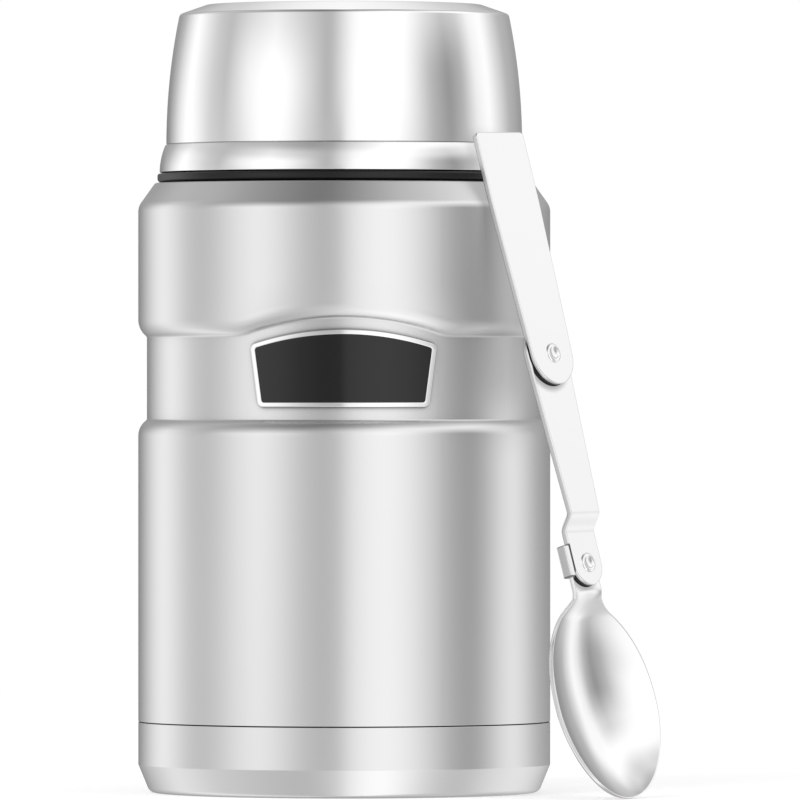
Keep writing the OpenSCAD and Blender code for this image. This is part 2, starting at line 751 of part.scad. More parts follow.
// The larger of two sizes, blended where they are close
function soft_max(a, b, blend) = let (q = max(0, blend - abs(a - b)) / blend)
    max(a, b) + q * q * blend / 4;

// Half width of the bowl's oval at distance d below the lower rivet, and of the rim, which
// runs on into the neck
function oval_half(d) = bowl_w / 2 * (d <= bowl_wide_at
    ? pow(1 - pow((bowl_wide_at - d) / (bowl_wide_at - neck_l), 2.4), 0.63)
    : sqrt(1 - pow((d - bowl_wide_at) / (tip_l - bowl_wide_at), 1.78)));
function rim_half(d) = d <= bowl_wide_at ? soft_max(neck_w / 2, oval_half(d), neck_blend)
                                         : oval_half(d);

// Height of the rim's plane behind the neck, and depth of the dish below the rim
function rim_back(d) = let (t = min(1, (d - neck_l) / rim_drop_l))
    rim_setback * t * t * (3 - 2 * t);
function dish(d) = let (c = (neck_l + tip_l) / 2 + 2, l = d < c ? c - neck_l : tip_l - c)
    bowl_depth * pow(max(0, 1 - pow(abs(d - c) / l, 2.1)), 0.85);

dish_rows = 22;
dish_columns = 14;

// Row j from neck to tip; rows crowd towards both ends, where the rim turns fastest
function dish_d(j) = let (t = j / dish_rows)
    neck_l + (tip_l - 0.06 - neck_l) * (0.15 * t + 0.85 * (1 - cos(180 * t)) / 2);

function dish_point(j, k, back) =
    let (d = dish_d(j), s = 2 * k / dish_columns - 1, s2 = sin(90 * s))
    [rim_half(d) * s2, -link_l - d,
     neck_front - rim_back(d) - dish(d) * (1 - s2 * s2) - back];

module spoon_dish() {
    columns = dish_columns + 1;
    n = columns * (dish_rows + 1);
    points = concat([for (j = [0:dish_rows], k = [0:dish_columns]) dish_point(j, k, 0)],
                    [for (j = [0:dish_rows], k = [0:dish_columns]) dish_point(j, k, bowl_t)]);
    cells = [for (j = [0:dish_rows - 1], k = [0:dish_columns - 1]) j * columns + k];
    front = [for (v = cells, h = [0, 1])
             h == 0 ? [v, v + 1, v + columns] : [v + 1, v + columns + 1, v + columns]];
    back = [for (f = front) [n + f[2], n + f[1], n + f[0]]];
    loop = concat([for (j = [0:dish_rows]) j * columns],
                  [for (k = [1:dish_columns]) dish_rows * columns + k],
                  [for (j = [dish_rows - 1:-1:0]) j * columns + dish_columns],
                  [for (k = [dish_columns - 1:-1:1]) k]);
    m = len(loop);
    edge = [for (p = [0:m - 1]) let (a = loop[p], b = loop[(p + 1) % m]) [a, b, n + b, n + a]];
    polyhedron(points, concat(front, back, edge), convexity = 6);
}

// Neck plate with the hinge hole and the tab, folded forward, that stops the link leaf
module spoon_neck() {
    translate([0, -link_l, 0]) {
        leaf(neck_front) {
            circle(d = neck_w + 0.6);
            translate([-neck_w / 2, -neck_l - 0.6]) square([neck_w, neck_l + 0.6]);
            translate([-tab_x - tab_t, -tab_l / 2]) square([tab_x + tab_t, tab_l]);
        }
        translate([-tab_x - tab_t, -tab_l / 2, neck_back])
            cube([tab_t, tab_l, low_front - neck_back]);
    }
}

module spoon_bowl() {
    color(bright) place_spoon() difference() {
        union() {
            spoon_neck();
            spoon_dish();
        }
        translate([0, -link_l, neck_back - 1]) cylinder(r = rivet_r + eps, h = leaf_t + 2);
    }
}

// Rivet through two leaves: a ring-shaped head with a dished middle in front, a flat head behind
module rivet(front, back) {
    h = rivet_head_h;
    r = rivet_head_d / 2;
    color(bright) rotate_extrude($fn = 48) polygon([
        [0, back - h], [r - 0.3, back - h], [r, back - h + 0.3], [r, back],
        [rivet_r, back], [rivet_r, front + leaf_gap / 2], [r, front + leaf_gap / 2],
        [r, front + h * 0.5], [r - 0.15, front + h * 0.85], [r - 0.4, front + h],
        [dimple_d / 2, front + h * 0.9], [dimple_d / 3, front + h * 0.55],
        [dimple_d / 6, front + h * 0.4], [0, front + h * 0.35]]);
}

module lower_rivet() {
    place_spoon() translate([0, -link_l, 0]) rivet(low_front, neck_back);
}

module upper_rivet() {
    place_spoon() rivet(0, link_front - leaf_t);
}

outer_shell();
inner_vessel();
end_plate();
vacuum_seal();
getter();
getter_strap();
radiation_foil();
base_cup();
badge_frame();
badge_panel();
stopper_body();
stopper_deck();
stopper_foam();
stopper_gasket();
lid_shell();
serving_bowl();
lid_ring();
spoon_bowl();
spoon_link();
spoon_handle();
lower_rivet();
upper_rivet();
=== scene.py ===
import json
from math import acos, asin, atan, cos, degrees, hypot, pi, radians, sin, sqrt, tan

import bpy
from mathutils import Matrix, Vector


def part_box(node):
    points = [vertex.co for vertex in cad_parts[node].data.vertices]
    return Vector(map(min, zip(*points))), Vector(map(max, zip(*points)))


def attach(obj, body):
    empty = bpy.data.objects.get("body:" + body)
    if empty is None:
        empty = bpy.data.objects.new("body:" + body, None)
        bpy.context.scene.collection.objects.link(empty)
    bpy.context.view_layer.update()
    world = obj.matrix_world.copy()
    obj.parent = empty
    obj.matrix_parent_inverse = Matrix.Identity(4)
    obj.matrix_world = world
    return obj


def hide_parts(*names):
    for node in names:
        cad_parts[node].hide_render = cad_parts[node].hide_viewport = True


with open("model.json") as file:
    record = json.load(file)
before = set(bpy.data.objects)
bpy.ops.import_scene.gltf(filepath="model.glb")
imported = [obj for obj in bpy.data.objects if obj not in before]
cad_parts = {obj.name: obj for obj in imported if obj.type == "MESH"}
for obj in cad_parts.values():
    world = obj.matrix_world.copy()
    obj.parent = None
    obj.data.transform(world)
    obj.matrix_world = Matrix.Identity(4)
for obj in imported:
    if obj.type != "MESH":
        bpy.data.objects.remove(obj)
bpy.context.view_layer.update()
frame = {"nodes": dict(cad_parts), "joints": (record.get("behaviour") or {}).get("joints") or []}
nodes = frame["nodes"]
scene = bpy.context.scene
mm = 0.001
print("frame loaded:", len(nodes), "nodes")


class Wire:
    # an output socket; arithmetic on it adds Math nodes
    def __init__(self, finish, socket):
        self.finish, self.socket = finish, socket

    def maths(self, operation, first, second=0.0):
        return self.finish.node("ShaderNodeMath", {"operation": operation}, {0: first, 1: second})

    def __add__(self, other):
        return self.maths("ADD", self, other)

    def __radd__(self, other):
        return self.maths("ADD", other, self)

    def __sub__(self, other):
        return self.maths("SUBTRACT", self, other)

    def __rsub__(self, other):
        return self.maths("SUBTRACT", other, self)

    def __mul__(self, other):
        return self.maths("MULTIPLY", self, other)

    def __rmul__(self, other):
        return self.maths("MULTIPLY", other, self)

    def __truediv__(self, other):
        return self.maths("DIVIDE", self, other)

    def __rtruediv__(self, other):
        return self.maths("DIVIDE", other, self)

    def atLeast(self, other):
        return self.maths("MAXIMUM", self, other)

    def size(self):
        return self.maths("ABSOLUTE", self)


class Finish:
    # a material or the world, built node by node
    def __init__(self, owner):
        self.owner = owner
        owner.use_nodes = True
        self.tree = owner.node_tree
        self.tree.nodes.clear()

    def feed(self, socket, value):
        if isinstance(value, Wire):
            self.tree.links.new(value.socket, socket)
        else:
            socket.default_value = value

    # settings go in before sockets; stops are (place, level) pairs of a grey ramp
    def node(self, kind, settings=None, sockets=None, output=0):
        made = self.tree.nodes.new(kind)
        for key, value in (settings or {}).items():
            if key == "stops":
                ramp = made.color_ramp.elements
                while len(ramp) < len(value):
                    ramp.new(0.5)
                for element, (place, level) in zip(ramp, value):
                    element.position, element.color = place, grey(level)
            elif key == "interpolation":
                made.color_ramp.interpolation = value
            else:
                setattr(made, key, value)
        for key, value in (sockets or {}).items():
            self.feed(made.inputs[key], value)
        return Wire(self, made.outputs[output]) if made.outputs else None

    # vector maths on the point's own place, in metres
    def placed(self, operation, other, output=0):
        here = self.node("ShaderNodeTexCoord", output="Object")
        return self.node("ShaderNodeVectorMath", {"operation": operation}, {0: here, 1: other},
                         output)

    # how far a point lies from a given one along a given direction, in mm
    def along(self, start, direction):
        return self.placed("DOT_PRODUCT", direction, 1) / mm - start.dot(direction)

    def height(self):
        return self.along(Vector((0, 0, 0)), Vector((0, 0, 1)))

    def apart(self, centre):
        return self.placed("DISTANCE", centre * mm, 1) / mm

    # how far a point lies from a pivot, seen square to the leaves
    def inPlane(self, pivot):
        wide, high = self.along(pivot, across), self.along(pivot, upLeaf)
        reach = wide * wide + high * high
        return reach.maths("SQRT", reach)

    # painted shade from ambient occlusion: 1 deep in a narrow corner or close under another piece, 0 in
    # the open
    def paintedOcclusion(self, reach, full=0.45):
        bare = self.node("ShaderNodeAmbientOcclusion", {"samples": 12}, {"Distance": reach * mm}, 1)
        return self.remap(bare, full, 0.97, 1.0, 0.0)

    def noise(self, stretch, detail=2.0, rough=0.5):
        here = self.placed("MULTIPLY", stretch)
        return self.node("ShaderNodeTexNoise", {}, {"Vector": here, "Scale": 1.0, "Detail": detail,
                                                    "Roughness": rough})

    def cells(self, scale, stretch=(1, 1, 1), feature="F1"):
        return self.node("ShaderNodeTexVoronoi", {"feature": feature},
                         {"Vector": self.placed("MULTIPLY", stretch), "Scale": scale})

    def mixed(self, amount, first, second):
        return self.node("ShaderNodeMix", {"data_type": "RGBA"},
                         {0: amount, 6: first, 7: second}, 2)

    def remap(self, value, low, high, newLow=0.0, newHigh=1.0):
        return self.node("ShaderNodeMapRange", {"interpolation_type": "SMOOTHSTEP"},
                         {"Value": value, "From Min": low, "From Max": high,
                          "To Min": newLow, "To Max": newHigh})

    def bump(self, height, strength, distance):
        return self.node("ShaderNodeBump", {}, {"Strength": strength, "Distance": distance,
                                                "Height": height})

    def principled(self, sockets):
        shader = self.node("ShaderNodeBsdfPrincipled", {}, sockets)
        self.node("ShaderNodeOutputMaterial", {}, {"Surface": shader})
        return self.owner


def newFinish(name):
    return Finish(bpy.data.materials.new(name))


def grey(level, warmth=0.0):
    return (level * (1 + warmth), level, level * (1 - warmth), 1)


# Sheet steel with fine lines running round the jar, and small cloudy changes in tone and gloss.
# darken and dull are called with the finish: how far the colour goes to black, which
# holds painted shade, and what the roughness gains.
def brushedSteel(name, tone, roughness, lineDepth, grain=(45, 45, 7000), darken=None, dull=None):
    f = newFinish(name)
    lines = f.noise(grain, 3.0, 0.6)
    clouds = f.noise((28, 28, 16), 3.0)
    colour = f.mixed(clouds, grey(tone * 0.985, 0.002), grey(min(tone * 1.015, 1), -0.002))
    if darken:
        colour = f.mixed(darken(f), colour, grey(0.03))
    gloss = (lines - 0.5) * 0.03 + (clouds - 0.5) * 0.02 + roughness
    return f.principled({
        "Base Color": colour,
        "Metallic": 1.0,
        "Roughness": gloss + dull(f) if dull else gloss,
        "Normal": f.bump(lines, lineDepth, 0.00002),
    })


# Buffed steel: faint waviness of the pressed sheet and hairline scratches. shade changes the colour:
# duller edges, and painted shade
def buffedSteel(f, tone, roughness, waveDepth=0.05, warmth=0.0, scratch=0.04, shade=None):
    waves = f.noise((60, 60, 60), 1.0)
    hairs = f.noise((300, 900, 2500), 4.0, 0.7)
    colour = f.mixed(waves, grey(tone * 0.99, warmth), grey(min(tone * 1.01, 1), -warmth))
    return f.principled({
        "Base Color": shade(colour) if shade else colour,
        "Metallic": 1.0,
        "Roughness": roughness + (hairs - 0.5) * scratch,
        "Normal": f.bump(waves * 0.8 + hairs * 0.02, waveDepth, 0.0004),
    })


def mouldedPlastic(name, colour, roughness, grain):
    f = newFinish(name)
    clouds = f.noise((70, 70, 70), 2.0)
    worn = tuple(min(1, c * 1.35 + 0.002) for c in colour[:3]) + (1,)
    return f.principled({
        "Base Color": f.mixed(clouds, colour, worn),
        "Roughness": roughness + (clouds - 0.5) * 0.08,
        "Specular IOR Level": 0.32,
        "Normal": f.bump(f.noise((2600, 2600, 2600), 2.0), grain, 0.00004),
    })


# A finish whose colour, gloss and bump follow one texture; swing is how far the roughness goes
def grained(name, texture, first, second, roughness, swing, strength, depth, metallic=0.0):
    f = newFinish(name)
    grain = texture(f)
    return f.principled({
        "Base Color": f.mixed(grain, first, second),
        "Metallic": metallic,
        "Roughness": roughness + (grain - 0.5) * swing if swing else roughness,
        "Normal": f.bump(grain, strength, depth),
    })


def dullMetal(name, dark, light):
    return grained(name, lambda f: f.noise((1500, 1500, 1500), 4.0), grey(dark), grey(light),
                   roughness=0.55, swing=0.3, strength=0.4, depth=0.0001, metallic=1.0)


bodyFinish = brushedSteel("bodySteel", tone=0.79, roughness=0.25, lineDepth=0.012)
vesselFinish = brushedSteel("vesselSteel", tone=0.78, roughness=0.24, lineDepth=0.25,
                            grain=(30, 30, 2600))
badgeFinish = buffedSteel(newFinish("badgeChrome"), tone=0.93, roughness=0.06, waveDepth=0.02,
                          warmth=0.002)
rivetFinish = buffedSteel(newFinish("spoonSteel"), tone=0.93, roughness=0.13, warmth=0.002)
flangeFinish = mouldedPlastic("flangePlastic", (0.006, 0.006, 0.0065, 1), roughness=0.26,
                              grain=0.15)
deckFinish = mouldedPlastic("deckPlastic", (0.020, 0.020, 0.022, 1), roughness=0.45, grain=0.4)
# baked enamel, glossy with a trace of orange peel
enamelFinish = grained("blackEnamel", lambda f: f.noise((900, 900, 900), 1.0),
                       (0.001, 0.001, 0.0012, 1), (0.003, 0.003, 0.0033, 1),
                       roughness=0.10, swing=0.03, strength=0.05, depth=0.00003)
siliconeFinish = grained("softSilicone", lambda f: f.noise((700, 700, 700), 4.0),
                         (0.30, 0.31, 0.32, 1), (0.37, 0.38, 0.39, 1),
                         roughness=0.62, swing=0.2, strength=0.15, depth=0.00005)
print("finishes made")


def addObject(name, data):
    thing = bpy.data.objects.new(name, data)
    scene.collection.objects.link(thing)
    return thing


def addMesh(name, points, faces, finish):
    mesh = bpy.data.meshes.new(name)
    mesh.from_pydata(points, [], faces)
    mesh.materials.append(finish)
    return addObject(name, mesh)


def makePiece(name, points, faces, finish, body, node=None, crease=38):
    piece = addMesh(name, points, faces, finish)
    piece.data.validate()
    piece.data.shade_smooth()
    piece.data.set_sharp_from_angle(angle=radians(crease))
    piece.modifiers.new("evenShading", "WEIGHTED_NORMAL").keep_sharp = True
    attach(piece, body)
    if node:
        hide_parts(node)
    return piece


def span(start, end, count):
    return [start + (end - start) * i / count for i in range(count + 1)]


def arc(x, z, r, start, end, count=10):
    return [(x + r * cos(radians(t)), z + r * sin(radians(t))) for t in span(start, end, count)]


# (inset, drop) along a rounded edge
def quarter(r, start, end, count):
    return [(r * (1 - sin(radians(t))), r * (1 - cos(radians(t)))) for t in span(start, end, count)]


def clamp(t):
    return max(0.0, min(1.0, t))


def smoothStep(t):
    return clamp(t) ** 2 * (3 - 2 * clamp(t))


def columnAngles(count):
    return [2 * pi * k / count for k in range(count)]


# Turns rows of (radius, height) or (radius, height, shape), in mm, round the axis. shape(angle,
# radius, height) gives a radius that changes round the jar. A closed form joins its last row to
# its first.
def turned(rows, angles, closed=False):
    points, loops = [], []
    for row in rows:
        r, z = row[0], row[1]
        if r < 1e-4:
            loops.append([len(points)])
            points.append((0, 0, z * mm))
            continue
        loops.append(list(range(len(points), len(points) + len(angles))))
        for a in angles:
            rr = row[2](a, r, z) if len(row) > 2 else r
            points.append((rr * sin(a) * mm, -rr * cos(a) * mm, z * mm))
    faces = []
    for low, high in zip(loops, loops[1:] + loops[:1] if closed else loops[1:]):
        n, a, b = max(len(low), len(high)), len(low), len(high)
        for k in range(n):
            m = (k + 1) % n
            corners = dict.fromkeys((low[k % a], low[m % a], high[m % b], high[k % b]))
            if len(corners) > 2:
                faces.append(tuple(corners))
    return points, faces


def makeTurned(name, rows, finish, body, node, closed=False, angles=columnAngles(240)):
    points, faces = turned(rows, angles, closed)
    return makePiece(name, points, faces, finish, body, node)


# walls between rings of as many points each, which follow one another
def ringFaces(ringCount, size, closed=False):
    faces = []
    for j in range(ringCount - (0 if closed else 1)):
        a, b = j * size, (j + 1) % ringCount * size
        for k in range(size):
            m = (k + 1) % size
            faces.append((a + k, a + m, b + m, b + k))
    return faces


def softMax(a, b, blend):
    h = max(blend - abs(a - b), 0) / blend
    return max(a, b) + h * h * blend / 4


def softMin(a, b, blend):
    return -softMax(-a, -b, blend)


fitGap = 0.06      # mm between pieces that meet

low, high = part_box("outer_shell")
shell = {
    "bodyR": high.x / mm,
    "rimZ": high.z / mm - 0.25,
    "footZ": low.z / mm,
    "wall": 0.6,
    "seamZ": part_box("base_cup")[1].z / mm,
    "seamGap": 0.25,
    "footInset": 0.66,
    "waistDepth": 2.14,
    "lowStepZ": 88.2,
    "highStepZ": 116.9,
    "lowRound": 4.7,
    "highRound": 5.2,
    "shoulderH": 7.15,
    "shoulderRound": 4.0,
    "shoulderSlope": 35.5,
    "rimRound": 0.9,
    "mouthR": 39.06,
    "archPeakZ": 117.2,
    "archR": 72.3,
    "archLowZ": 100.0,       # below this the relief is the plain waist
    "archReach": 6.0,        # how far above the arch the relief may still show
    "archFlare": 0.12,
    "creaseBlend": 0.35,     # softness of the inner corners
    "ridgeBlend": 0.9,       # softness where the arch runs into the upper step
    "creaseReach": 4.0,      # painted shade in the creases, which fades out between the two heights
    "creaseFade": (122, 132),
    "creaseShare": 0.8,
    "behindReach": 30.0,     # painted shade behind the spoon's handle, which fades in upwards
    "behindFade": (80, 104),
    "behindShare": 0.42,
}
seamTop = shell["seamZ"] + shell["seamGap"]
waistR = shell["bodyR"] - shell["waistDepth"]
archCentreZ = shell["archPeakZ"] - shell["archR"]
archRun = sqrt(shell["highRound"] ** 2 - (shell["highRound"] - shell["waistDepth"]) ** 2)


def stepRadius(distance, r):
    # radius of a rounded step at a distance from where it is back at full width
    if distance <= 0:
        return shell["bodyR"]
    if distance >= r:
        return shell["bodyR"] - r
    return shell["bodyR"] - r + sqrt(r * r - distance * distance)


def bodyRadius(z):
    step = max(stepRadius(z - shell["lowStepZ"], shell["lowRound"]),
               stepRadius(shell["highStepZ"] - z, shell["highRound"]))
    return softMax(waistR, step, shell["creaseBlend"])


def archRadius(angle, r, z):
    # radius of the relief over the badge; it takes over from the plain body where it is smaller
    s = shell
    if cos(angle) < 0.5 or z < s["archLowZ"]:
        return r
    formed = r
    for step in range(4):
        away = hypot(formed * sin(angle), z - archCentreZ) - s["archR"]
        slope = stepRadius(archRun - away, s["highRound"])
        relief = softMax(waistR, slope, s["creaseBlend"])
        relief += max(0, away - archRun) * s["archFlare"]
        formed = softMin(r, relief, s["ridgeBlend"]) if away < archRun + s["archReach"] else r
    return max(formed, min(r, waistR))


def shellRows(inset):
    # rows crowd at the two steps
    s = shell
    heights = (span(seamTop + inset, s["lowStepZ"] - 0.5, 8)
               + span(s["lowStepZ"] - 0.2, s["lowStepZ"] + 4.4, 20)
               + span(s["lowStepZ"] + 6, s["highStepZ"] - 7, 5)
               + span(s["highStepZ"] - 5.4, s["highStepZ"] + 8, 54)
               + span(s["highStepZ"] + 9.5, s["rimZ"] - s["shoulderH"], 4))
    rows = [(bodyRadius(z) - inset, z, lambda a, r, z: archRadius(a, r + inset, z) - inset)
            for z in heights]
    centre = s["bodyR"] - s["shoulderRound"]
    slope = radians(s["shoulderSlope"])
    rimCentre = centre + (s["shoulderRound"] - s["rimRound"]
                          - (s["shoulderH"] - s["rimRound"]) * sin(slope)) / cos(slope)
    rows += arc(centre, s["rimZ"] - s["shoulderH"], s["shoulderRound"] - inset,
                0, s["shoulderSlope"], 10)[1:]
    rows += arc(rimCentre, s["rimZ"] - s["rimRound"], s["rimRound"] - inset,
                s["shoulderSlope"], 90, 8)
    return rows


# Painted shade on the shell: it is dark in the creases of its steps, behind the spoon's handle, and in
# the seam and below it
def shellPaintedShade(f):
    s, z = shell, f.height()
    creases = f.paintedOcclusion(s["creaseReach"], 0.5) * f.remap(z, *s["creaseFade"], s["creaseShare"], 0)
    behind = f.paintedOcclusion(s["behindReach"], 0.55) * f.remap(z, *s["behindFade"], 0, s["behindShare"])
    return creases.atLeast(behind).atLeast(f.remap(z, seamTop - 0.02, seamTop + 0.03, 1, 0))


def makeOuterShell():
    s = shell

    def side(inset):
        r = s["bodyR"] - s["footInset"] - inset
        return [(r, s["footZ"]), (r, seamTop + inset)] + shellRows(inset)

    mouth = [(s["mouthR"], s["rimZ"]), (s["mouthR"], s["rimZ"] - s["wall"])]
    # columns are finer at the arch
    angles = [radians(t) for t in span(-28, 28, 140) + span(28, 332, 202)[1:-1]]
    finish = brushedSteel("shellSteel", tone=0.79, roughness=0.25, lineDepth=0.012,
                          darken=shellPaintedShade)
    makeTurned("outerShell", side(0) + mouth + side(s["wall"])[::-1], finish, "jar",
               "outer_shell", closed=True, angles=angles)


makeOuterShell()
print("outer shell made")


base = {
    "wall": 0.6,
    "chamferZ": 6.9,
    "standR": 46.8,
    "standRound": 2.0,
    "slope": 22.5,
    "lipRound": 0.18,
    "chamferRound": 0.5,
    "beadR": 31.0,
    "beadW": 3.0,
    "beadFlank": 1.0,
    "beadDepth": 0.6,
}


def baseRows(inset):
    b = base
    half = b["beadW"] / 2
    flank = half + b["beadFlank"]
    bead = [(-flank - 1, 0), (-flank, 0), (-half, b["beadDepth"]), (half, b["beadDepth"]),
            (flank, 0), (flank + 1, 0)]
    turn = b["chamferRound"]
    turnZ = b["chamferZ"] + (inset + turn) * tan(radians(b["slope"] / 2))
    return ([(0, inset)] + [(b["beadR"] + x, inset + z) for x, z in bead]
            + arc(b["standR"], b["standRound"], b["standRound"] - inset, -90, -b["slope"], 8)
            + arc(shell["bodyR"] - inset - turn, turnZ, turn, -b["slope"], 0, 4))


def makeBaseCup():
    outR, top, lip, wall = shell["bodyR"], shell["seamZ"], base["lipRound"], base["wall"]
    rows = (baseRows(0) + arc(outR - lip, top - lip, lip, 0, 90, 4)
            + [(outR - wall, top)] + baseRows(wall)[::-1])
    makeTurned("baseCup", rows, bodyFinish, "jar", "base_cup")


makeBaseCup()
print("base cup made")


badge = {
    "topW": 45.4,
    "lowW": 41.8,
    "lowZ": 95.4,
    "height": 15.2,
    "crown": 3.7,
    "round": 1.3,
    "border": 1.15,
    "backGap": fitGap,
    "thickness": 0.9,
    "pocket": 0.5,
    "edge": 0.22,
    "panelSink": 0.1,
}


def badgeCurve(inset):
    # right half of the keystone, from the middle of the foot to the middle of the crown
    b = badge
    r = ((b["topW"] / 2) ** 2 + b["crown"] ** 2) / (2 * b["crown"])
    corner = b["round"] - inset / 2
    lean = (b["topW"] - b["lowW"]) / 2 / b["height"]
    tilt = atan(lean)
    reach = inset + corner
    inner = r - reach
    lowZ = b["lowZ"] + reach
    lowX = b["lowW"] / 2 + lean * reach - reach / cos(tilt)
    topX = b["topW"] / 2 - reach / cos(tilt)
    centreZ = b["lowZ"] + b["height"] + b["crown"] - r
    topZ = centreZ + sqrt(inner ** 2 - topX ** 2)
    crownTurn = degrees(acos(topX / inner))
    foot = [(x, b["lowZ"] + inset) for x in span(0, lowX, 20)]
    return (foot[:-1] + arc(lowX, lowZ, corner, -90, -degrees(tilt), 8)
            + arc(topX, topZ, corner, -degrees(tilt), crownTurn, 10)
            + arc(0, centreZ, r - inset, crownTurn, 90, 24)[1:])


def badgeRing(inset, r):
    right = badgeCurve(inset)
    outline = right + [(-x, z) for x, z in right[-2:0:-1]]
    return [(x * mm, -sqrt(r * r - x * x) * mm, z * mm) for x, z in outline]


def makeBadge():
    b = badge
    back = waistR + b["backGap"]
    face = back + b["thickness"]
    floor = face - b["pocket"]
    turn = quarter(b["edge"], 90, 0, 4)
    rings = [badgeRing(b["border"], back), badgeRing(0, back)]
    rings += [badgeRing(i, face - d) for i, d in turn]
    rings += [badgeRing(b["border"] - i, face - d) for i, d in turn[::-1]]
    rings += [badgeRing(b["border"], floor)]
    makePiece("badgeBorder", sum(rings, []), ringFaces(len(rings), len(rings[0]), closed=True),
              badgeFinish, "jar", "badge_frame")
    # the enamelled face: columns across the keystone, each from its foot to its crown
    right = badgeCurve(b["border"] + fitGap)
    wide = max(range(len(right)), key=lambda k: right[k][0])
    lower, upper = right[:wide + 1], right[wide:][::-1]

    def heightAt(side, x):
        if x <= side[0][0]:
            return side[0][1]
        for (x0, z0), (x1, z1) in zip(side, side[1:]):
            if x0 <= x <= x1 and x1 > x0:
                return z0 + (z1 - z0) * (x - x0) / (x1 - x0)
        return side[-1][1]

    columns = [right[wide][0] * sin(radians(t)) for t in span(-90, 90, 96)]
    grid, rowCount = [], 8
    for level in (face - b["panelSink"], floor + fitGap):
        for x in columns:
            z0, z1 = heightAt(lower, abs(x)), heightAt(upper, abs(x))
            y = -sqrt(level ** 2 - x * x)
            grid += [(x * mm, y * mm, z * mm) for z in span(z0, z1, rowCount)]
    per = rowCount + 1
    under = len(columns) * per      # from a point of the front to the same one of the back
    faces = []
    for a in range(0, under - per, per):
        for c in range(a, a + rowCount):
            front = (c, c + per, c + per + 1, c + 1)
            faces += [front, tuple(k + under for k in front[::-1])]
        top = a + rowCount
        faces += [(a, a + under, a + per + under, a + per),
                  (top + per, top + per + under, top + under, top)]
    makePiece("badgeFace", grid, faces, enamelFinish, "jar", "badge_panel")


makeBadge()
print("badge made")


vessel = {
    "cavityR": 45.0,
    "wall": 0.5,
    "floorZ": 19.0,
    "floorRound": 9.0,
    "mouthR": 38.5,
    "throatLowZ": 129.0,
    "throatHighZ": 137.0,
    "threadLowZ": 143.2,
    "threadHighZ": 148.6,
    "threadPitch": 2.6,
    "threadDepth": 0.38,
    "flatR": 20.0,           # first row of the floor
    "sideLowZ": 60.0,        # first row of the side
}


# Radius of a thread: a rounded ridge winds up the wall and fades in and out at both ends
def thread(lowZ, highZ, pitch, depth, fadeH=0.8, fullness=0.7):
    def shape(angle, r, z):
        ridge = max(0.0, cos(2 * pi * (z - lowZ) / pitch - angle)) ** fullness
        fade = clamp((z - lowZ) / fadeH) * clamp((highZ - z) / fadeH)
        return r + depth * ridge * fade
    return shape


def threadRows(r, wind, start, end, count):
    return [(r, z, wind) for z in span(start, end, count)]


def makeInnerVessel():
    v = vessel
    rim = shell["rimZ"]
    wind = thread(v["threadLowZ"], v["threadHighZ"], v["threadPitch"], -v["threadDepth"])

    def rows(grow):
        bend = ((v["cavityR"] + v["mouthR"]) / 2 + grow,
                (v["throatLowZ"] + 2 * v["throatHighZ"]) / 3)
        out = [(0, v["floorZ"] - grow), (v["flatR"], v["floorZ"] - grow)]
        out += arc(v["cavityR"] - v["floorRound"], v["floorZ"] + v["floorRound"],
                   v["floorRound"] + grow, -90, 0, 12)
        out += [(v["cavityR"] + grow, z) for z in span(v["sideLowZ"], v["throatLowZ"], 3)]
        return out + [bend] + [(v["mouthR"] + grow, v[z]) for z in ("throatHighZ", "threadLowZ")]

    lip = v["wall"] / 2
    outer = rows(v["wall"]) + [(v["mouthR"] + v["wall"], rim - lip)]
    brim = arc(v["mouthR"] + lip, rim - lip, lip, 0, 180, 8)[1:]
    inner = rows(0) + threadRows(v["mouthR"], wind, v["threadLowZ"] + 0.15,
                                 v["threadHighZ"] - 0.15, 34)
    makeTurned("innerVessel", outer + brim + inner[::-1], vesselFinish, "jar",
               "inner_vessel")


makeInnerVessel()
print("inner vessel made")


stopper = {
    "flangeR": 46.25,
    "flangeZ": shell["rimZ"] + fitGap,
    "flangeH": 2.26,
    "flangeRound": 0.6,
    "flangeUnder": 1.0,      # the lower edge's round
    "wall": 2.2,
    "plugR": 37.4,
    "plugDepth": 19.31,
    "plugRound": 3.0,
    "collarR": 41.0,
    "collarH": 7.7,
    "collarRound": 0.5,
    "gasketDrop": 11.31,
    "gasketH": 3.0,
    "grooveDepth": 0.6,
    "gasketWall": 1.2,
    "gasketLip": 0.5,
    "gasketRound": 0.35,
    "threadDepth": 0.75,
    "threadPitch": 2.6,
    "wellL": 68.0,
    "wellW": 40.0,
    "wellDepth": 5.5,
    "deckWall": 1.8,
    "deckSet": 0.4,
    "deckRound": 0.8,
    "wellRound": 2.0,
}
flangeTop = stopper["flangeZ"] + stopper["flangeH"]
collarTop = flangeTop + stopper["collarH"]
plugFloor = stopper["flangeZ"] - stopper["plugDepth"]
gasketZ = stopper["flangeZ"] - stopper["gasketDrop"]


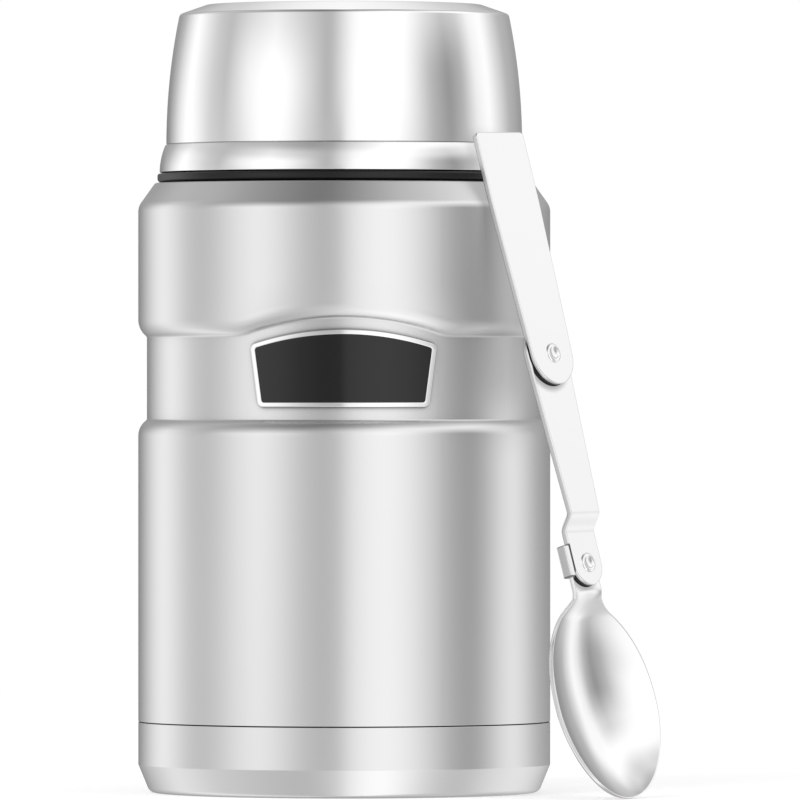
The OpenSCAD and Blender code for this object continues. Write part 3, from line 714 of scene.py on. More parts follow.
def makeStopper():
    s = stopper
    plugLow, plugHigh = gasketZ + s["gasketH"] + 1.0, s["flangeZ"] - 1.2
    plugWind = thread(plugLow, plugHigh, s["threadPitch"], -s["threadDepth"])
    collarWind = thread(flangeTop + 0.6, collarTop - 0.9, s["threadPitch"], -s["threadDepth"])
    plug, foot, collar, brow = s["plugR"], s["plugRound"], s["collarR"], s["collarRound"]
    groove = plug - s["grooveDepth"]
    grooveLow, grooveHigh = gasketZ - fitGap, gasketZ + s["gasketH"] + fitGap
    rows = [(0, plugFloor), (plug - foot - 2, plugFloor)]
    rows += arc(plug - foot, plugFloor + foot, foot, -90, 0, 8)
    rows += [(plug, grooveLow), (groove, grooveLow), (groove, grooveHigh), (plug, grooveHigh)]
    rows += threadRows(plug, plugWind, plugLow, plugHigh, 32) + [(plug, s["flangeZ"])]
    under, over = s["flangeUnder"], s["flangeRound"]
    rows += arc(s["flangeR"] - under, s["flangeZ"] + under, under, -90, 0, 8)
    rows += arc(s["flangeR"] - over, flangeTop - over, over, 0, 90, 6)
    rows += [(collar, flangeTop)]
    rows += threadRows(collar, collarWind, flangeTop + 0.5, collarTop - 0.8, 28)
    rows += arc(collar - brow, collarTop - brow, brow, 0, 90, 5)
    inner, core, coreLow = collar - s["wall"], plug - s["wall"], plugFloor + s["wall"]
    foamTop = collarTop - s["wellDepth"] - s["deckWall"] - fitGap
    rows += [(inner + 0.3, collarTop), (inner, collarTop - 0.3), (inner, foamTop), (core, foamTop),
             (core, coreLow), (0, coreLow)]
    makeTurned("stopperBody", rows, flangeFinish, "stopper", "stopper_body")


def makeGasket():
    # two round lips with a valley between them
    s = stopper
    r = s["plugR"] - s["grooveDepth"] + fitGap
    out, h, lipR = r + s["gasketWall"], s["gasketH"], s["gasketRound"]
    low, high = (arc(out - lipR, gasketZ + h * t, lipR, -80, 80, 8) for t in (0.30, 0.70))
    valley, foot = out - s["gasketLip"], out - s["gasketLip"] - 0.1
    rows = ([(r, gasketZ), (foot, gasketZ)] + low + [(valley, gasketZ + h * 0.5)] + high
            + [(foot, gasketZ + h), (r, gasketZ + h)])
    makeTurned("stopperGasket", rows, siliconeFinish, "stopper", "stopper_gasket",
               closed=True, angles=columnAngles(200))


# The deck: rings that change from the round rim to the long well
def makeDeck():
    s = stopper
    count = 160
    angles = columnAngles(count)
    deckR = s["collarR"] - s["wall"] - fitGap
    top = collarTop - s["deckSet"]
    floor = collarTop - s["wellDepth"]
    half = (s["wellL"] - s["wellW"]) / 2

    def ring(r, z, stretch=0.0):
        return [(r * sin(a) + stretch * max(-1, min(1, 1.6 * sin(a))), -r * cos(a), z)
                for a in angles]

    def wellRing(grow, z):
        return ring(s["wellW"] / 2 + grow, z, half)

    w = s["deckWall"]
    rings = [ring(deckR - 0.2, top), ring(deckR, top - 0.2), ring(deckR, top - w),
             ring(deckR - 0.5, top - w), wellRing(w, top - w), wellRing(w, floor - w + 0.6),
             wellRing(w - 0.6, floor - w), wellRing(-8, floor - w)]
    under = len(rings)
    rings += [wellRing(-8, floor)]
    rings += [wellRing(-inset, floor + rise) for inset, rise in quarter(s["wellRound"], 0, 90, 6)]
    rings += [wellRing(inset, top - drop) for inset, drop in quarter(s["deckRound"], 90, 0, 5)]
    points = [(x * mm, y * mm, z * mm) for loop in rings for x, y, z in loop]
    # the band between the two innermost rings is left out, and both are filled flat instead
    faces = [f for f in ringFaces(len(rings), count, closed=True)
             if not (f[0] // count == under - 1 and f[2] // count == under)]
    faces += [tuple(range((under - 1) * count, under * count)),
              tuple(range(under * count, (under + 1) * count))[::-1]]
    makePiece("stopperDeck", points, faces, deckFinish, "stopper", "stopper_deck")


makeStopper()
makeGasket()
makeDeck()
print("stopper made")


lidLow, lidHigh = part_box("lid_shell")
lid = {
    "lowZ": lidLow.z / mm - 0.2,
    "topZ": lidHigh.z / mm,
    "lowR": 45.7,
    "barrelR": 44.05,
    "bandH": 6.9,
    "bandArc": 17.0,
    "barrelArc": 159.0,
    "edgeRound": 1.2,
    "lineRound": 0.22,
    "lineDepth": 0.24,
    "coneW": 6.0,
    "coneDrop": 2.1,
    "wall": 0.6,
    "lipRound": 0.25,
    "bowlSpace": 2.2,
    "bowlRound": 9.0,
    "bowlWall": 0.5,
    "mouthSpace": 0.9,
    "sideSpace": 1.3,
    "ringH": 9.4,
    "ringFootH": 2.0,
    "ringChamfer": 0.4,
    "ringGap": 0.3,
    "threadDepth": 0.75,
    # painted shade in the lid's creases
    "creaseShade": 0.3,
    "topDark": 0.3,
    "topDull": 0.16,
}
lineZ = lid["lowZ"] + lid["bandH"]
ringTop = lid["lowZ"] + lid["ringH"]


def bandR(z):
    return lid["lowR"] - lid["bandArc"] + sqrt(lid["bandArc"] ** 2 - (z - lid["lowZ"]) ** 2)


def barrelR(z):
    return lid["barrelR"] - lid["barrelArc"] + sqrt(lid["barrelArc"] ** 2 - (z - lineZ) ** 2)


def lidRows(inset):
    d = lid
    e, g = d["edgeRound"], d["lineRound"]
    barrelX, reach = d["barrelR"] - d["barrelArc"], d["barrelArc"] - e
    cone = atan(d["coneDrop"] / d["coneW"])
    roundZ = d["topZ"] - d["coneDrop"] - e * cos(cone)
    turn = asin((roundZ - lineZ) / reach)
    roundX = barrelX + reach * cos(turn)
    discR = roundX + e * sin(cone) - d["coneW"]
    rows = [(bandR(z) - inset, z) for z in span(d["lowZ"] + 0.3, lineZ - g, 10)]
    rows += arc(bandR(lineZ) - g - inset, lineZ - g, g, 15, 90, 5)
    rows += [(d["barrelR"] - d["lineDepth"] - inset, lineZ),
             (d["barrelR"] - 0.02 - inset, lineZ + 0.2)]
    rows += arc(barrelX, lineZ, d["barrelArc"] - inset, 0.15, degrees(turn), 14)
    rows += arc(roundX, roundZ, e - inset, degrees(turn), 90 - degrees(cone), 10)[1:]
    disc = [(discR + 2, -0.7), (discR + 0.1, -0.04), (discR - 0.1, 0), (discR - 2, 0), (0, 0)]
    return rows + [(r, d["topZ"] - inset + z) for r, z in disc]


# 1 on the flat top of the lid, which is ground duller than its side
def onTop(f):
    return f.remap(f.height(), lid["topZ"] - 0.12, lid["topZ"] - 0.04)


def makeLidShell():
    d = lid
    # the lid's colour darkens with painted shade in its creases, and on its flat top
    finish = brushedSteel(
        "lidSteel", tone=0.96, roughness=0.13, lineDepth=0.012,
        darken=lambda f: (f.paintedOcclusion(4.0) * d["creaseShade"]).atLeast(onTop(f) * d["topDark"]),
        dull=lambda f: onTop(f) * d["topDull"])
    lip = d["lipRound"]
    low = arc(d["lowR"] - lip, d["lowZ"] + lip, lip, -180, 0, 8)
    makeTurned("lidShell", lidRows(d["wall"])[::-1] + low + lidRows(0), finish, "lid",
               "lid_shell")


def makeServingBowl():
    d = lid
    r = d["bowlRound"]
    floorZ = d["topZ"] - d["wall"] - d["bowlSpace"]
    mouthR = barrelR(ringTop) - d["wall"] - d["mouthSpace"]
    lowR = barrelR(floorZ - r) - d["wall"] - d["sideSpace"]

    def rows(inset):
        out = [(mouthR - inset, ringTop + fitGap)] + arc(lowR - r, floorZ - r, r - inset, 5, 90, 14)
        return out + [(vessel["flatR"], floorZ - inset), (0, floorZ - inset)]

    makeTurned("servingBowl", rows(d["bowlWall"])[::-1] + rows(0), vesselFinish, "lid",
               "serving_bowl")


def makeLidRing():
    d = lid
    inner, foot, c = stopper["collarR"] + d["ringGap"], d["lowZ"], d["ringChamfer"]
    footTop = foot + d["ringFootH"]
    footR = bandR(footTop) - d["wall"] - fitGap
    topR = barrelR(ringTop) - d["wall"] - fitGap
    lowZ, highZ = foot + 0.8, ringTop - 1.0
    wind = thread(lowZ, highZ, stopper["threadPitch"], d["threadDepth"])
    rows = [(inner + 0.3, foot), (footR - 0.2, foot), (footR, foot + 0.2), (footR, footTop),
            (topR, footTop), (topR, ringTop), (inner + c, ringTop), (inner, ringTop - c)]
    rows += threadRows(inner, wind, highZ, lowZ, 34) + [(inner, foot + 0.3)]
    makeTurned("lidRing", rows, flangeFinish, "lid", "lid_ring", closed=True)


makeLidShell()
makeServingBowl()
makeLidRing()
print("lid made")


spoon = {
    "leafT": 1.5,
    "leafGap": 0.1,
    "joggle": 3.1,
    "joggleAt": 40.2,
    "joggleL": 3.6,
    "handleL": 56.6,
    "handleW": 18.2,
    "handlePivotW": 15.4,
    "handleFullL": 18.0,
    "handleRound": 1.2,
    "linkW": 15.2,
    "linkLowW": 11.0,
    "tipL": 58.4,
    "neckW": 10.4,
    "neckL": 8.0,
    "bowlW": 38.0,
    "bowlWideAt": 35.0,
    "neckBlend": 4.0,
    "rimDropL": 6.0,
    "bowlDepth": 8.0,
    "neckCurve": 2.4,       # the outline from the neck to the widest place
    "neckFullness": 0.63,
    "tipCurve": 1.78,
    "dishCurve": 2.1,       # the dish along the bowl
    "dishPower": 0.85,
    "dishUp": 0.8,          # the deepest place, from the middle of the bowl
    "rimSetback": 2.2,
    "bowlT": 1.2,
    "bowlEdge": 0.35,
    "tabL": 7.8,
    "tabUp": 0.8,
    "tabT": 1.65,
    "tabGap": 0.2,
    "tabBend": 1.2,         # outer radius of the fold; the inner one is half of it
    "tabEdge": 0.4,
    "edge": 0.3,            # rounding of the leaves' edges
    "tone": 0.93,
    "edgeTone": 0.72,
    # painted shade on the stop tab's outer face
    "sideShadeTone": 0.66,
    # the stop tab's blanked ends, darkened partly as painted shade, and its foot's painted shade
    "blankAndShadeTone": 0.2,
    # the colour of the painted shadows and painted shade on the spoon
    "shadowTone": 0.012,
    "gloss": 0.22,
    "bowlGloss": 0.13,
    # how far the painted shadow's crescent reaches past the round end
    "crescentShadow": 0.62,
    "rivetR": 1.5,
    "headR": 2.45,
    "headH": 0.7,
    "dimpleR": 1.6,
    "dimpleDepth": 0.46,
}
joints = {j["name"]: j for j in frame["joints"]}
upperPivot = Vector(joints["handle_fold"]["pos_m"]) / mm
lowerPivot = Vector(joints["link_fold"]["pos_m"]) / mm
faceOut = -Vector(joints["link_fold"]["axis"]).normalized()
upLeaf = upperPivot - lowerPivot
upLeaf = (upLeaf - faceOut * upLeaf.dot(faceOut)).normalized()
across = upLeaf.cross(faceOut)
linkL = (upperPivot - lowerPivot).dot(upLeaf)
linkFront = -spoon["leafT"] - spoon["leafGap"]
lowFront = linkFront - spoon["joggle"]
neckFront = lowFront - spoon["leafT"] - spoon["leafGap"]


def inSpoon(x, y, z):
    # from the spoon's own frame (x across, y up the leaf, z out of its face) to the jar's
    return tuple((upperPivot + across * x + upLeaf * y + faceOut * z) * mm)


def outwardNormals(side):
    # unit normals of the right-hand outline, which runs upwards and is mirrored at both ends
    run = [(-side[1][0], side[1][1]), *side, (-side[-2][0], side[-2][1])]
    normals = []
    for (x0, y0), (x1, y1) in zip(run, run[2:]):
        length = hypot(x1 - x0, y1 - y0) or 1
        normals.append(((y1 - y0) / length, (x0 - x1) / length))
    return normals


# A sheet leaf from its right-hand outline, its front surface and its thickness. Rounded edges
# are rings of the outline; both faces are strips with as many columns as the surface needs.
# slant says how far the thickness follows the surface's slope: 0 keeps it square to the leaf.
def makeLeaf(name, side, surface, finish, body, node, thickness=spoon["leafT"],
             edge=spoon["edge"], columns=6, slant=lambda x, y: 1.0, crease=50):
    normals = outwardNormals(side)
    profile = quarter(edge, 0, 90, 4)
    profile += [(i, thickness - d) for i, d in profile[::-1]]

    def lift(x, y, depth):
        h = 0.02
        dx = (surface(x + h, y) - surface(x - h, y)) / (2 * h)
        dy = (surface(x, y + h) - surface(x, y - h)) / (2 * h)
        n = Vector((-dx * slant(x, y), -dy * slant(x, y), 1)).normalized()
        return (x - n.x * depth, y - n.y * depth, surface(x, y) - n.z * depth)

    def insetPoint(k, i):
        return max(0.0, side[k][0] - i * normals[k][0]), side[k][1] - i * normals[k][1]

    points = []
    for inset, depth in profile:
        right = [insetPoint(k, inset) for k in range(len(side))]
        outline = right + [(-x, y) for x, y in right[::-1]]
        points += [lift(x, y, depth) for x, y in outline]
    n = 2 * len(side)
    faces = ringFaces(len(profile), n)
    for first, depth, front in ((0, 0, True), (n * (len(profile) - 1), thickness, False)):
        rows = []
        for k in range(len(side)):
            x, y = insetPoint(k, edge)
            inner = range(len(points), len(points) + columns - 1)
            points += [lift(-x + 2 * x * c / columns, y, depth) for c in range(1, columns)]
            rows.append([first + n - 1 - k, *inner, first + k])
        for low, high in zip(rows, rows[1:]):
            for c in range(columns):
                quad = (low[c], low[c + 1], high[c + 1], high[c])
                faces.append(quad if front else quad[::-1])
    return makePiece(name, [inSpoon(*p) for p in points], faces, finish, body,
                     node, crease)


# Painted shadow: 1 where the round end of the leaf above, r wide from its pivot, shades the leaf
# below: a sharp crescent low on the left with a faint soft one beyond it
def crescentShadow(f, pivot, r):
    lean = (-across * 0.9 - upLeaf * 0.44).normalized()
    under = f.remap(f.inPlane(pivot), r - 1.2, r - 0.7)
    sharp = f.remap(f.inPlane(pivot + lean * spoon["crescentShadow"]), r - 0.08, r + 0.14, 1, 0)
    soft = f.remap(f.inPlane(pivot + lean * 1.3 - upLeaf * 0.5), r - 0.8, r + 1.3, 0.5, 0)
    rim = f.remap(f.along(pivot, -across), r - 0.85, r - 0.5, 1, 0)
    return under * rim * sharp.atLeast(soft)


# how far a point lies outside the stop tab's ends
def pastTab(f):
    return (f.along(lowerPivot, upLeaf) - spoon["tabUp"]).size() - spoon["tabL"] / 2


# The leaves' finish. Their faces are buffed and their blanked edges are duller. Painted shade
# darkens the back part of their edges and the gap where a leaf turns on the next, r wide from the
# pivot. The link is joggled: it also has a painted shadow under the handle, and painted shade on its
# edge next to the stop tab.
def leafSteel(name, front, pivot, r, joggled=False):
    s = spoon
    f = newFinish(name)
    plane = front
    if joggled:
        plane = f.remap(f.along(upperPivot, -upLeaf), s["joggleAt"] - 0.5,
                        s["joggleAt"] + s["joggleL"] + 0.5, front, front - s["joggle"])
    depth = plane - f.along(upperPivot, faceOut)
    back = f.remap(depth, s["leafT"] - 0.1, s["leafT"] - 0.02, 1, 0)
    edge = f.remap(depth, 0.12, 0.4) * back
    # painted shade on the back part of the edges and near the pivot
    dark = f.remap(depth, s["leafT"] - 0.35, s["leafT"] - 0.15, 0, 0.55) * back
    near = f.remap(f.apart(pivot), r + 0.3, r + 1.5, 1, 0)
    low = f.remap(depth, s["leafT"] - 0.85, s["leafT"] - 0.6)
    dark = dark.atLeast(near * low * back)
    if joggled:
        # painted shadow under the handle, and painted shade next to the stop tab
        handleShadow = crescentShadow(f, upperPivot, s["handlePivotW"] / 2) * f.remap(depth, 0.3, 0.8, 1, 0)
        tabShadow = f.remap(f.along(lowerPivot, -across), r - 0.55, r - 0.32)
        tabShadow = tabShadow * f.remap(pastTab(f), 0, 0.6, 1, 0)
        dark = dark.atLeast(handleShadow).atLeast(tabShadow * 0.9)

    def shade(colour):
        return f.mixed(dark, f.mixed(edge, colour, grey(s["edgeTone"])), grey(s["shadowTone"]))

    return buffedSteel(f, s["tone"], edge * 0.12 + s["gloss"], shade=shade)


# The bowl's finish: buffed all over, with a painted shadow under the link's round end on its neck
def bowlSteel():
    s = spoon
    f = newFinish("bowlSteel")
    onNeck = f.remap(f.along(upperPivot, faceOut), neckFront - 0.4, neckFront - 0.1)
    # painted shadow under the link's round end
    dark = crescentShadow(f, lowerPivot, s["linkLowW"] / 2) * onNeck
    return buffedSteel(f, s["tone"], s["bowlGloss"], scratch=0.03,
                       shade=lambda colour: f.mixed(dark, colour, grey(s["shadowTone"])))


# The tab's finish: painted shade darkens its outer face and its foot, and its blanked ends are darker,
# partly painted shade
def tabSteel():
    s = spoon
    f = newFinish("tabSteel")
    grain = f.noise((500, 500, 500), 3.0)
    face = s["linkLowW"] / 2 + s["tabGap"] + s["tabT"]
    back = neckFront - s["leafT"]
    colour = f.mixed(grain, grey(s["tone"] * 0.98), grey(s["tone"]))
    # painted shade on the outer face
    sideShade = f.remap(f.along(lowerPivot, -across), face - 0.16, face - 0.04)
    foot = f.remap(f.along(upperPivot, faceOut), back + 0.1, back + 0.5, 1, 0)
    colour = f.mixed(sideShade, colour, grey(s["sideShadeTone"]))
    # the blanked ends, partly painted shade, and painted shade at the foot
    for blanked in (f.remap(pastTab(f), -0.3, -0.1), foot):
        colour = f.mixed(blanked, colour, grey(s["blankAndShadeTone"]))
    return f.principled({
        "Base Color": colour,
        "Metallic": 1.0,
        "Roughness": 0.24 + (grain - 0.5) * 0.05,
        "Normal": f.bump(grain, 0.03, 0.0001),
    })


def makeHandle():
    s = spoon
    half, c = s["handleW"] / 2, s["handleRound"]
    fullFrom = s["handleL"] - s["handleFullL"]
    pivotR = s["handlePivotW"] / 2
    side = arc(0, 0, pivotR, -87, 0, 22)
    side += [(pivotR + (half - pivotR) * t, fullFrom * t) for t in span(0.15, 1, 6)]
    side += [(half, s["handleL"] - c - 4)] + arc(half - c, s["handleL"] - c, c, 0, 90, 8)
    side += [(half * 0.5, s["handleL"]), (0.3, s["handleL"])]
    finish = leafSteel("handleSteel", 0.0, upperPivot, pivotR)
    return makeLeaf("handleLeaf", side, lambda x, y: 0.0, finish, "handle", "spoon_handle")


def linkSurface(x, y):
    s = spoon
    return linkFront - s["joggle"] * smoothStep((-y - s["joggleAt"] + 0.5) / (s["joggleL"] + 1.0))


def makeLink():
    s = spoon
    half, lowHalf = s["linkW"] / 2, s["linkLowW"] / 2
    bendLow, bendHigh = -s["joggleAt"] - s["joggleL"] - 0.8, -s["joggleAt"] + 0.8
    heights = (span(-linkL + 1, bendLow, 3) + span(bendLow, bendHigh, 18)[1:]
               + span(-s["joggleAt"] + 2, -1, 7))
    side = arc(0, -linkL, lowHalf, -87, 0, 20)
    side += [(half + (lowHalf - half) * min(1, -y / s["joggleAt"]), y) for y in heights]
    side += arc(0, 0, half, 0, 87, 20)
    finish = leafSteel("linkSteel", linkFront, lowerPivot, lowHalf, joggled=True)
    return makeLeaf("linkLeaf", side, linkSurface, finish, "link", "spoon_link")


# half the bowl's width at a distance below the lower pivot
def rimHalf(d):
    s = spoon
    neck, wide, widest = s["neckW"] / 2, s["bowlW"] / 2, s["bowlWideAt"]
    if d <= s["neckL"]:
        return neck
    if d <= widest:
        t = (widest - d) / (widest - s["neckL"])
        return softMax(neck, wide * (1 - t ** s["neckCurve"]) ** s["neckFullness"], s["neckBlend"])
    t = clamp((d - widest) / (s["tipL"] - widest))
    return wide * sqrt(1 - t ** s["tipCurve"])


def bowlSurface(x, y):
    s = spoon
    d = -linkL - y
    dishFrom = s["neckL"] - 1.5
    rimBack = s["rimSetback"] * smoothStep((d - dishFrom) / s["rimDropL"])
    centre = (s["neckL"] + s["tipL"]) / 2 - s["dishUp"]
    run = centre - dishFrom if d < centre else s["tipL"] - centre
    along = (abs(d - centre) / run) ** s["dishCurve"]
    dish = s["bowlDepth"] * max(0, 1 - along) ** s["dishPower"]
    share = min(1, abs(x) / max(rimHalf(d), 0.05))
    return neckFront - rimBack - dish * (1 - share * share)


def fromRim(x, y):
    # 0 on the bowl's outline, 1 well inside it
    s = spoon
    d = -linkL - y
    inside = min(rimHalf(d) - abs(x), (s["tipL"] - d) * 0.6)
    return clamp((inside - 0.35) / 3.0)


def makeSpoonBowl():
    s = spoon
    # from the tip up to the neck's round end; rows crowd towards the tip
    ds = [s["neckL"] + (s["tipL"] - 0.04 - s["neckL"]) * (0.35 * t + 0.65 * (1 - cos(pi * t)) / 2)
          for t in span(1, 0, 72)]
    side = [(rimHalf(d), -linkL - d) for d in ds]
    side += [(s["neckW"] / 2, -linkL - d) for d in (7.4, 6.8, 6.2, 5.4, 4.2)]
    side += arc(0, -linkL, s["neckW"] / 2 + 0.3, -20, 87, 22)
    return makeLeaf("spoonBowl", side, bowlSurface, bowlSteel(), "spoon", "spoon_bowl",
                    s["bowlT"], s["bowlEdge"], columns=22, slant=fromRim, crease=60)


def makeStopTab():
    # a tongue of the neck, folded forward beside the link
    s = spoon
    inner = s["linkLowW"] / 2 + s["tabGap"]
    out = inner + s["tabT"]
    back = neckFront - s["leafT"]
    r, corner, root = s["tabBend"], s["tabEdge"], s["neckW"] / 2 - 1.0
    bend, e, half = r / 2, 0.12, s["tabL"] / 2
    section = [(root, neckFront), (root, back)] + arc(out - r, back + r, r, -90, 0, 6)
    section += arc(out - corner, lowFront - corner, corner, 0, 90, 5)
    section += arc(inner + e, lowFront - e, e, 90, 180, 3) + [(inner, neckFront + bend)]
    section += arc(inner - bend, neckFront + bend, bend, 0, -90, 4)[1:]
    ends = [(-half, e), (-half + e * 0.3, e * 0.3), (-half + e, 0)]
    ends += [(-y, shrink) for y, shrink in ends[::-1]]
    n = len(section)
    cx, cz = (sum(p[axis] for p in section) / n for axis in (0, 1))

    def drawnIn(value, centre, shrink):
        if abs(value - centre) <= 0.2:
            return value
        return value - shrink if value > centre else value + shrink

    points = [inSpoon(-drawnIn(x, cx, shrink), -linkL + s["tabUp"] + y, drawnIn(z, cz, shrink))
              for y, shrink in ends for x, z in section]
    faces = ringFaces(len(ends), n)
    faces += [tuple(range(n))[::-1], tuple(range(len(points) - n, len(points)))]
    return makePiece("stopTab", points, faces, tabSteel(), "spoon", crease=45)


def makeRivet(name, y, front, back, body, node):
    # a low head on each face of the leaves, with a dimple in the front one
    s = spoon
    r, h, dish = s["headR"], s["headH"], s["dimpleR"]
    low, top = back - h, front + h
    seat, dimple = front + s["leafGap"] / 2, top - s["dimpleDepth"]
    rows = [(0, low), (r - 0.5, low), (r - 0.15, low + 0.12), (r, low + 0.4),
            (r, back), (s["rivetR"], back), (s["rivetR"], seat), (r - 0.1, seat),
            (r, front + 0.12), (r - 0.03, front + 0.3), (r - 0.13, front + 0.48),
            (r - 0.3, front + 0.62), (r - 0.5, top), (dish + 0.12, top - 0.01),
            (dish, top - 0.05), (dish - 0.12, top - 0.12)]
    rows += [(dish * t, dimple + 0.34 * t ** 2.2) for t in (0.8, 0.65, 0.5, 0.35, 0.2, 0)]
    spun, faces = turned(rows, columnAngles(64))
    points = [inSpoon(p[0] / mm, y + p[1] / mm, p[2] / mm) for p in spun]
    return makePiece(name, points, faces, rivetFinish, body, node, crease=60)


parts = [makeHandle(), makeLink(), makeSpoonBowl(), makeStopTab(),
         makeRivet("upperRivet", 0, 0, linkFront - spoon["leafT"], "link", "upper_rivet"),
         makeRivet("lowerRivet", -linkL, lowFront, neckFront - spoon["leafT"], "spoon",
                   "lower_rivet")]
for part in parts:
    part.visible_glossy = False      # the jar's steel shows no image of the spoon
print("spoon made")


# solids that stay as they are, with a finish of their own
kept = {
    "radiation_foil": grained(
        "copperFoil", lambda f: f.cells(160.0, (1, 1, 0.6), "SMOOTH_F1"),
        (0.80, 0.44, 0.30, 1), (0.70, 0.36, 0.23, 1),
        roughness=0.35, swing=0.2, strength=0.3, depth=0.0004, metallic=1.0),
    "end_plate": brushedSteel("endPlateSteel", tone=0.7, roughness=0.4, lineDepth=0.3),
    "getter_strap": brushedSteel("strapSteel", tone=0.7, roughness=0.35, lineDepth=0.3),
    "getter": dullMetal("getterAlloy", 0.18, 0.32),
    "vacuum_seal": dullMetal("solderBead", 0.38, 0.52),
    "stopper_foam": grained(
        "stopperFoam", lambda f: f.cells(900.0), (0.80, 0.74, 0.56, 1), (0.62, 0.56, 0.40, 1),
        roughness=0.9, swing=0, strength=0.5, depth=0.0003),
}
for name, finish in kept.items():
    mesh = nodes[name].data
    mesh.materials.clear()
    mesh.materials.append(finish)
print("inner pieces finished")


studio = {
    "tentR": 1.4,
    "tentZ": 0.10,
    "peak": 1.35,            # the brightest level below
    "floorR": 0.9,
    "floorTone": 0.80,
    "floorLift": 0.34,       # what the camera sees on top of the lit floor
    "ambient": 0.72,
    "lampAim": 0.09,         # the height that the lamps point at
    # the tent's brightness: for each height in degrees, levels by azimuth, which runs from the
    # front towards +X. A fitting program worked them out first, and they were changed
    # afterwards. They are to be replaced by plain panels.
    "sky": {
        -50: {-180: 0.46, -156: 0.52, -132: 0.78, -114: 1.10, -90: 0.78, -60: 0.61, -24: 0.55, -1: 0.72,
              1: 1.10, 24: 1.34, 36: 1.22, 60: 0.73, 75: 0.62, 96: 0.66, 112: 0.68, 122: 0.70,
              135: 0.55, 156: 0.46, 180: 0.46},
        -24: {-180: 0.40, -166: 0.40, -144: 0.62, -120: 1.00, -96: 0.78, -84: 0.68, -50: 0.84,
              -24: 0.63, -1: 0.66, 1: 1.00, 24: 1.18, 40: 1.05, 60: 0.68, 72: 0.52, 84: 0.66, 96: 0.98,
              120: 1.02, 134: 0.92, 156: 0.70, 180: 0.40},
        0: {-180: 0.26, -166: 0.20, -156: 0.28, -144: 0.55, -132: 0.90, -120: 1.14, -108: 0.96,
            -96: 0.68, -84: 0.59, -72: 0.72, -60: 0.98, -48: 1.12, -36: 0.97, -24: 0.67, -12: 0.50,
            -2: 0.52, 2: 0.94, 12: 1.10, 24: 1.15, 36: 1.02, 48: 0.76, 60: 0.45, 74: 0.32, 84: 0.50,
            96: 0.86, 108: 1.04, 120: 0.76, 134: 0.46, 156: 0.32, 180: 0.26},
        14: {-180: 0.42, -168: 0.42, -156: 0.36, -144: 0.46, -120: 1.10, -96: 0.64, -84: 0.52,
             -66: 0.95, -48: 1.16, -36: 1.04, -12: 0.46, -8: 0.48, 6: 1.04, 24: 1.28, 42: 1.00,
             58: 0.50, 72: 0.29, 84: 0.46, 96: 0.92, 108: 1.06, 120: 0.74, 134: 0.48, 156: 0.40,
             180: 0.42},
        28: {-180: 0.68, -168: 0.60, -156: 0.42, -144: 0.46, -120: 0.76, -96: 0.55, -84: 0.50,
             -48: 0.86, -12: 0.46, -8: 0.48, 6: 0.98, 24: 1.20, 36: 1.12, 46: 1.04, 60: 0.82, 72: 0.68,
             84: 0.78, 96: 1.03, 116: 1.04, 132: 0.70, 144: 0.55, 160: 0.50, 168: 0.60, 180: 0.68},
        42: {-180: 1.00, -166: 0.85, -156: 0.50, -132: 0.50, -108: 0.56, -84: 0.44, -54: 0.50,
             -24: 0.34, -8: 0.37, 6: 0.74, 18: 0.92, 36: 1.15, 60: 1.10, 96: 1.15, 110: 1.10, 122: 0.90,
             134: 0.62, 156: 0.52, 166: 0.85, 180: 1.00},
        58: {-180: 1.15, -160: 0.90, -140: 0.34, -108: 0.54, -84: 0.38, -54: 0.28, -24: 0.19, -1: 0.30,
             1: 0.34, 24: 0.56, 48: 0.80, 72: 0.70, 96: 0.78, 120: 0.62, 140: 0.42, 160: 0.90,
             180: 1.15},
        76: {-180: 0.90, -160: 0.60, -132: 0.24, -108: 0.42, -84: 0.38, -60: 0.28, -36: 0.18, -12: 0.18,
             12: 0.31, 36: 0.38, 66: 0.40, 90: 0.36, 112: 0.22, 160: 0.60, 180: 0.90},
    },
}


def makeTent():
    f = newFinish("tentLight")
    apart = f.node("ShaderNodeSeparateXYZ", {}, {0: f.node("ShaderNodeTexCoord", output="Object")})
    x, y, z = (Wire(f, s) for s in apart.socket.node.outputs)
    turn = f.node("ShaderNodeMath", {"operation": "ARCTAN2"}, {0: x, 1: y * -1.0}) / (2 * pi) + 0.5
    rise = z / studio["tentR"]
    light, below = None, None
    for height, stops in studio["sky"].items():
        places = [((degree + 180) / 360, level / studio["peak"]) for degree, level in stops.items()]
        band = f.node("ShaderNodeValToRGB", {"interpolation": "LINEAR", "stops": places}, {0: turn})
        edge = sin(radians(height))
        light = f.mixed(f.remap(rise, below, edge), light, band) if light else band
        below = edge
    glow = f.node("ShaderNodeEmission", {}, {"Color": light, "Strength": studio["peak"]})
    f.node("ShaderNodeOutputMaterial", {}, {"Surface": glow})
    f.owner.cycles.emission_sampling = "NONE"
    rows = arc(0, 0, studio["tentR"] / mm, -90, 90, 48)
    tent = addMesh("lightTent", *turned(rows, columnAngles(96)), f.owner)
    tent.location.z = studio["tentZ"]
    tent.visible_camera = False      # only shiny surfaces see the tent
    tent.visible_diffuse = False
    tent.visible_shadow = False


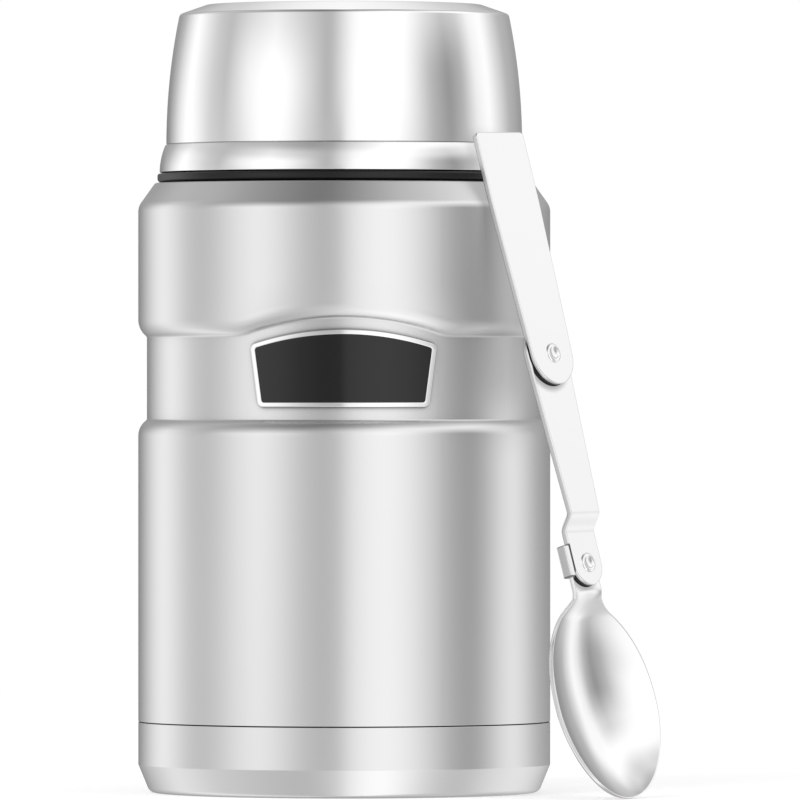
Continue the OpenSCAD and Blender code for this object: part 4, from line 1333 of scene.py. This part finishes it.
def rayMask(f):
    # 1 for what the camera sees directly, in metal or through glass
    path = f.node("ShaderNodeLightPath").socket.node
    camera, glossy, through = (Wire(f, path.outputs["Is %s Ray" % kind])
                               for kind in ("Camera", "Glossy", "Transmission"))
    return camera.atLeast(glossy).atLeast(through)


def makeFloor():
    f = newFinish("paleFloor")
    lit = f.node("ShaderNodeBsdfDiffuse", {}, {"Color": grey(studio["floorTone"])})
    lift = f.node("ShaderNodeEmission", {}, {"Color": grey(1),
                                             "Strength": rayMask(f) * studio["floorLift"]})
    both = f.node("ShaderNodeAddShader", {}, {0: lit, 1: lift})
    f.node("ShaderNodeOutputMaterial", {}, {"Surface": both})
    f.owner.cycles.emission_sampling = "NONE"
    points, faces = turned([(0, 0), (studio["floorR"] / mm, 0)], columnAngles(96))
    floor = addMesh("floor", points, faces, f.owner)
    floor.visible_glossy = False     # the steel mirrors the tent, which goes on below


def makeWorld():
    scene.world = bpy.data.worlds.new("whiteStudio")
    f = Finish(scene.world)
    strength = studio["ambient"] + rayMask(f) * (1 - studio["ambient"])
    sky = f.node("ShaderNodeBackground", {}, {"Color": grey(1), "Strength": strength})
    f.node("ShaderNodeOutputWorld", {}, {"Surface": sky})


def makeLamp(name, place, size, power):
    lamp = bpy.data.lights.new(name, "AREA")
    lamp.shape = "RECTANGLE"
    lamp.size = lamp.size_y = size
    lamp.energy = power
    holder = addObject(name, lamp)
    holder.location = place
    aim = Vector((0, 0, studio["lampAim"]))
    holder.rotation_euler = (aim - Vector(place)).to_track_quat("-Z", "Y").to_euler()
    holder.visible_glossy = False
    holder.visible_camera = False


makeTent()
makeFloor()
makeWorld()
makeLamp("keyLamp", (-0.9, -1.0, 1.1), 0.9, 9.0)
makeLamp("fillLamp", (1.1, -0.7, 0.8), 0.8, 5.0)

# a long lens from far away: the jar's axis stands left of the middle of the frame
view = {
    "lens": 532.35,
    "place": (0.0138, -2.929, 0.1015),
    "down": 0.0872,
}
camera = bpy.data.cameras.new("camera")
camera.lens = view["lens"]
camera.sensor_width = 36.0
camera.clip_end = 20.0
holder = addObject("camera", camera)
holder.location = view["place"]
holder.rotation_euler = (radians(90 - view["down"]), 0, 0)
scene.camera = holder
scene.view_settings.view_transform = "Standard"
print("studio made")
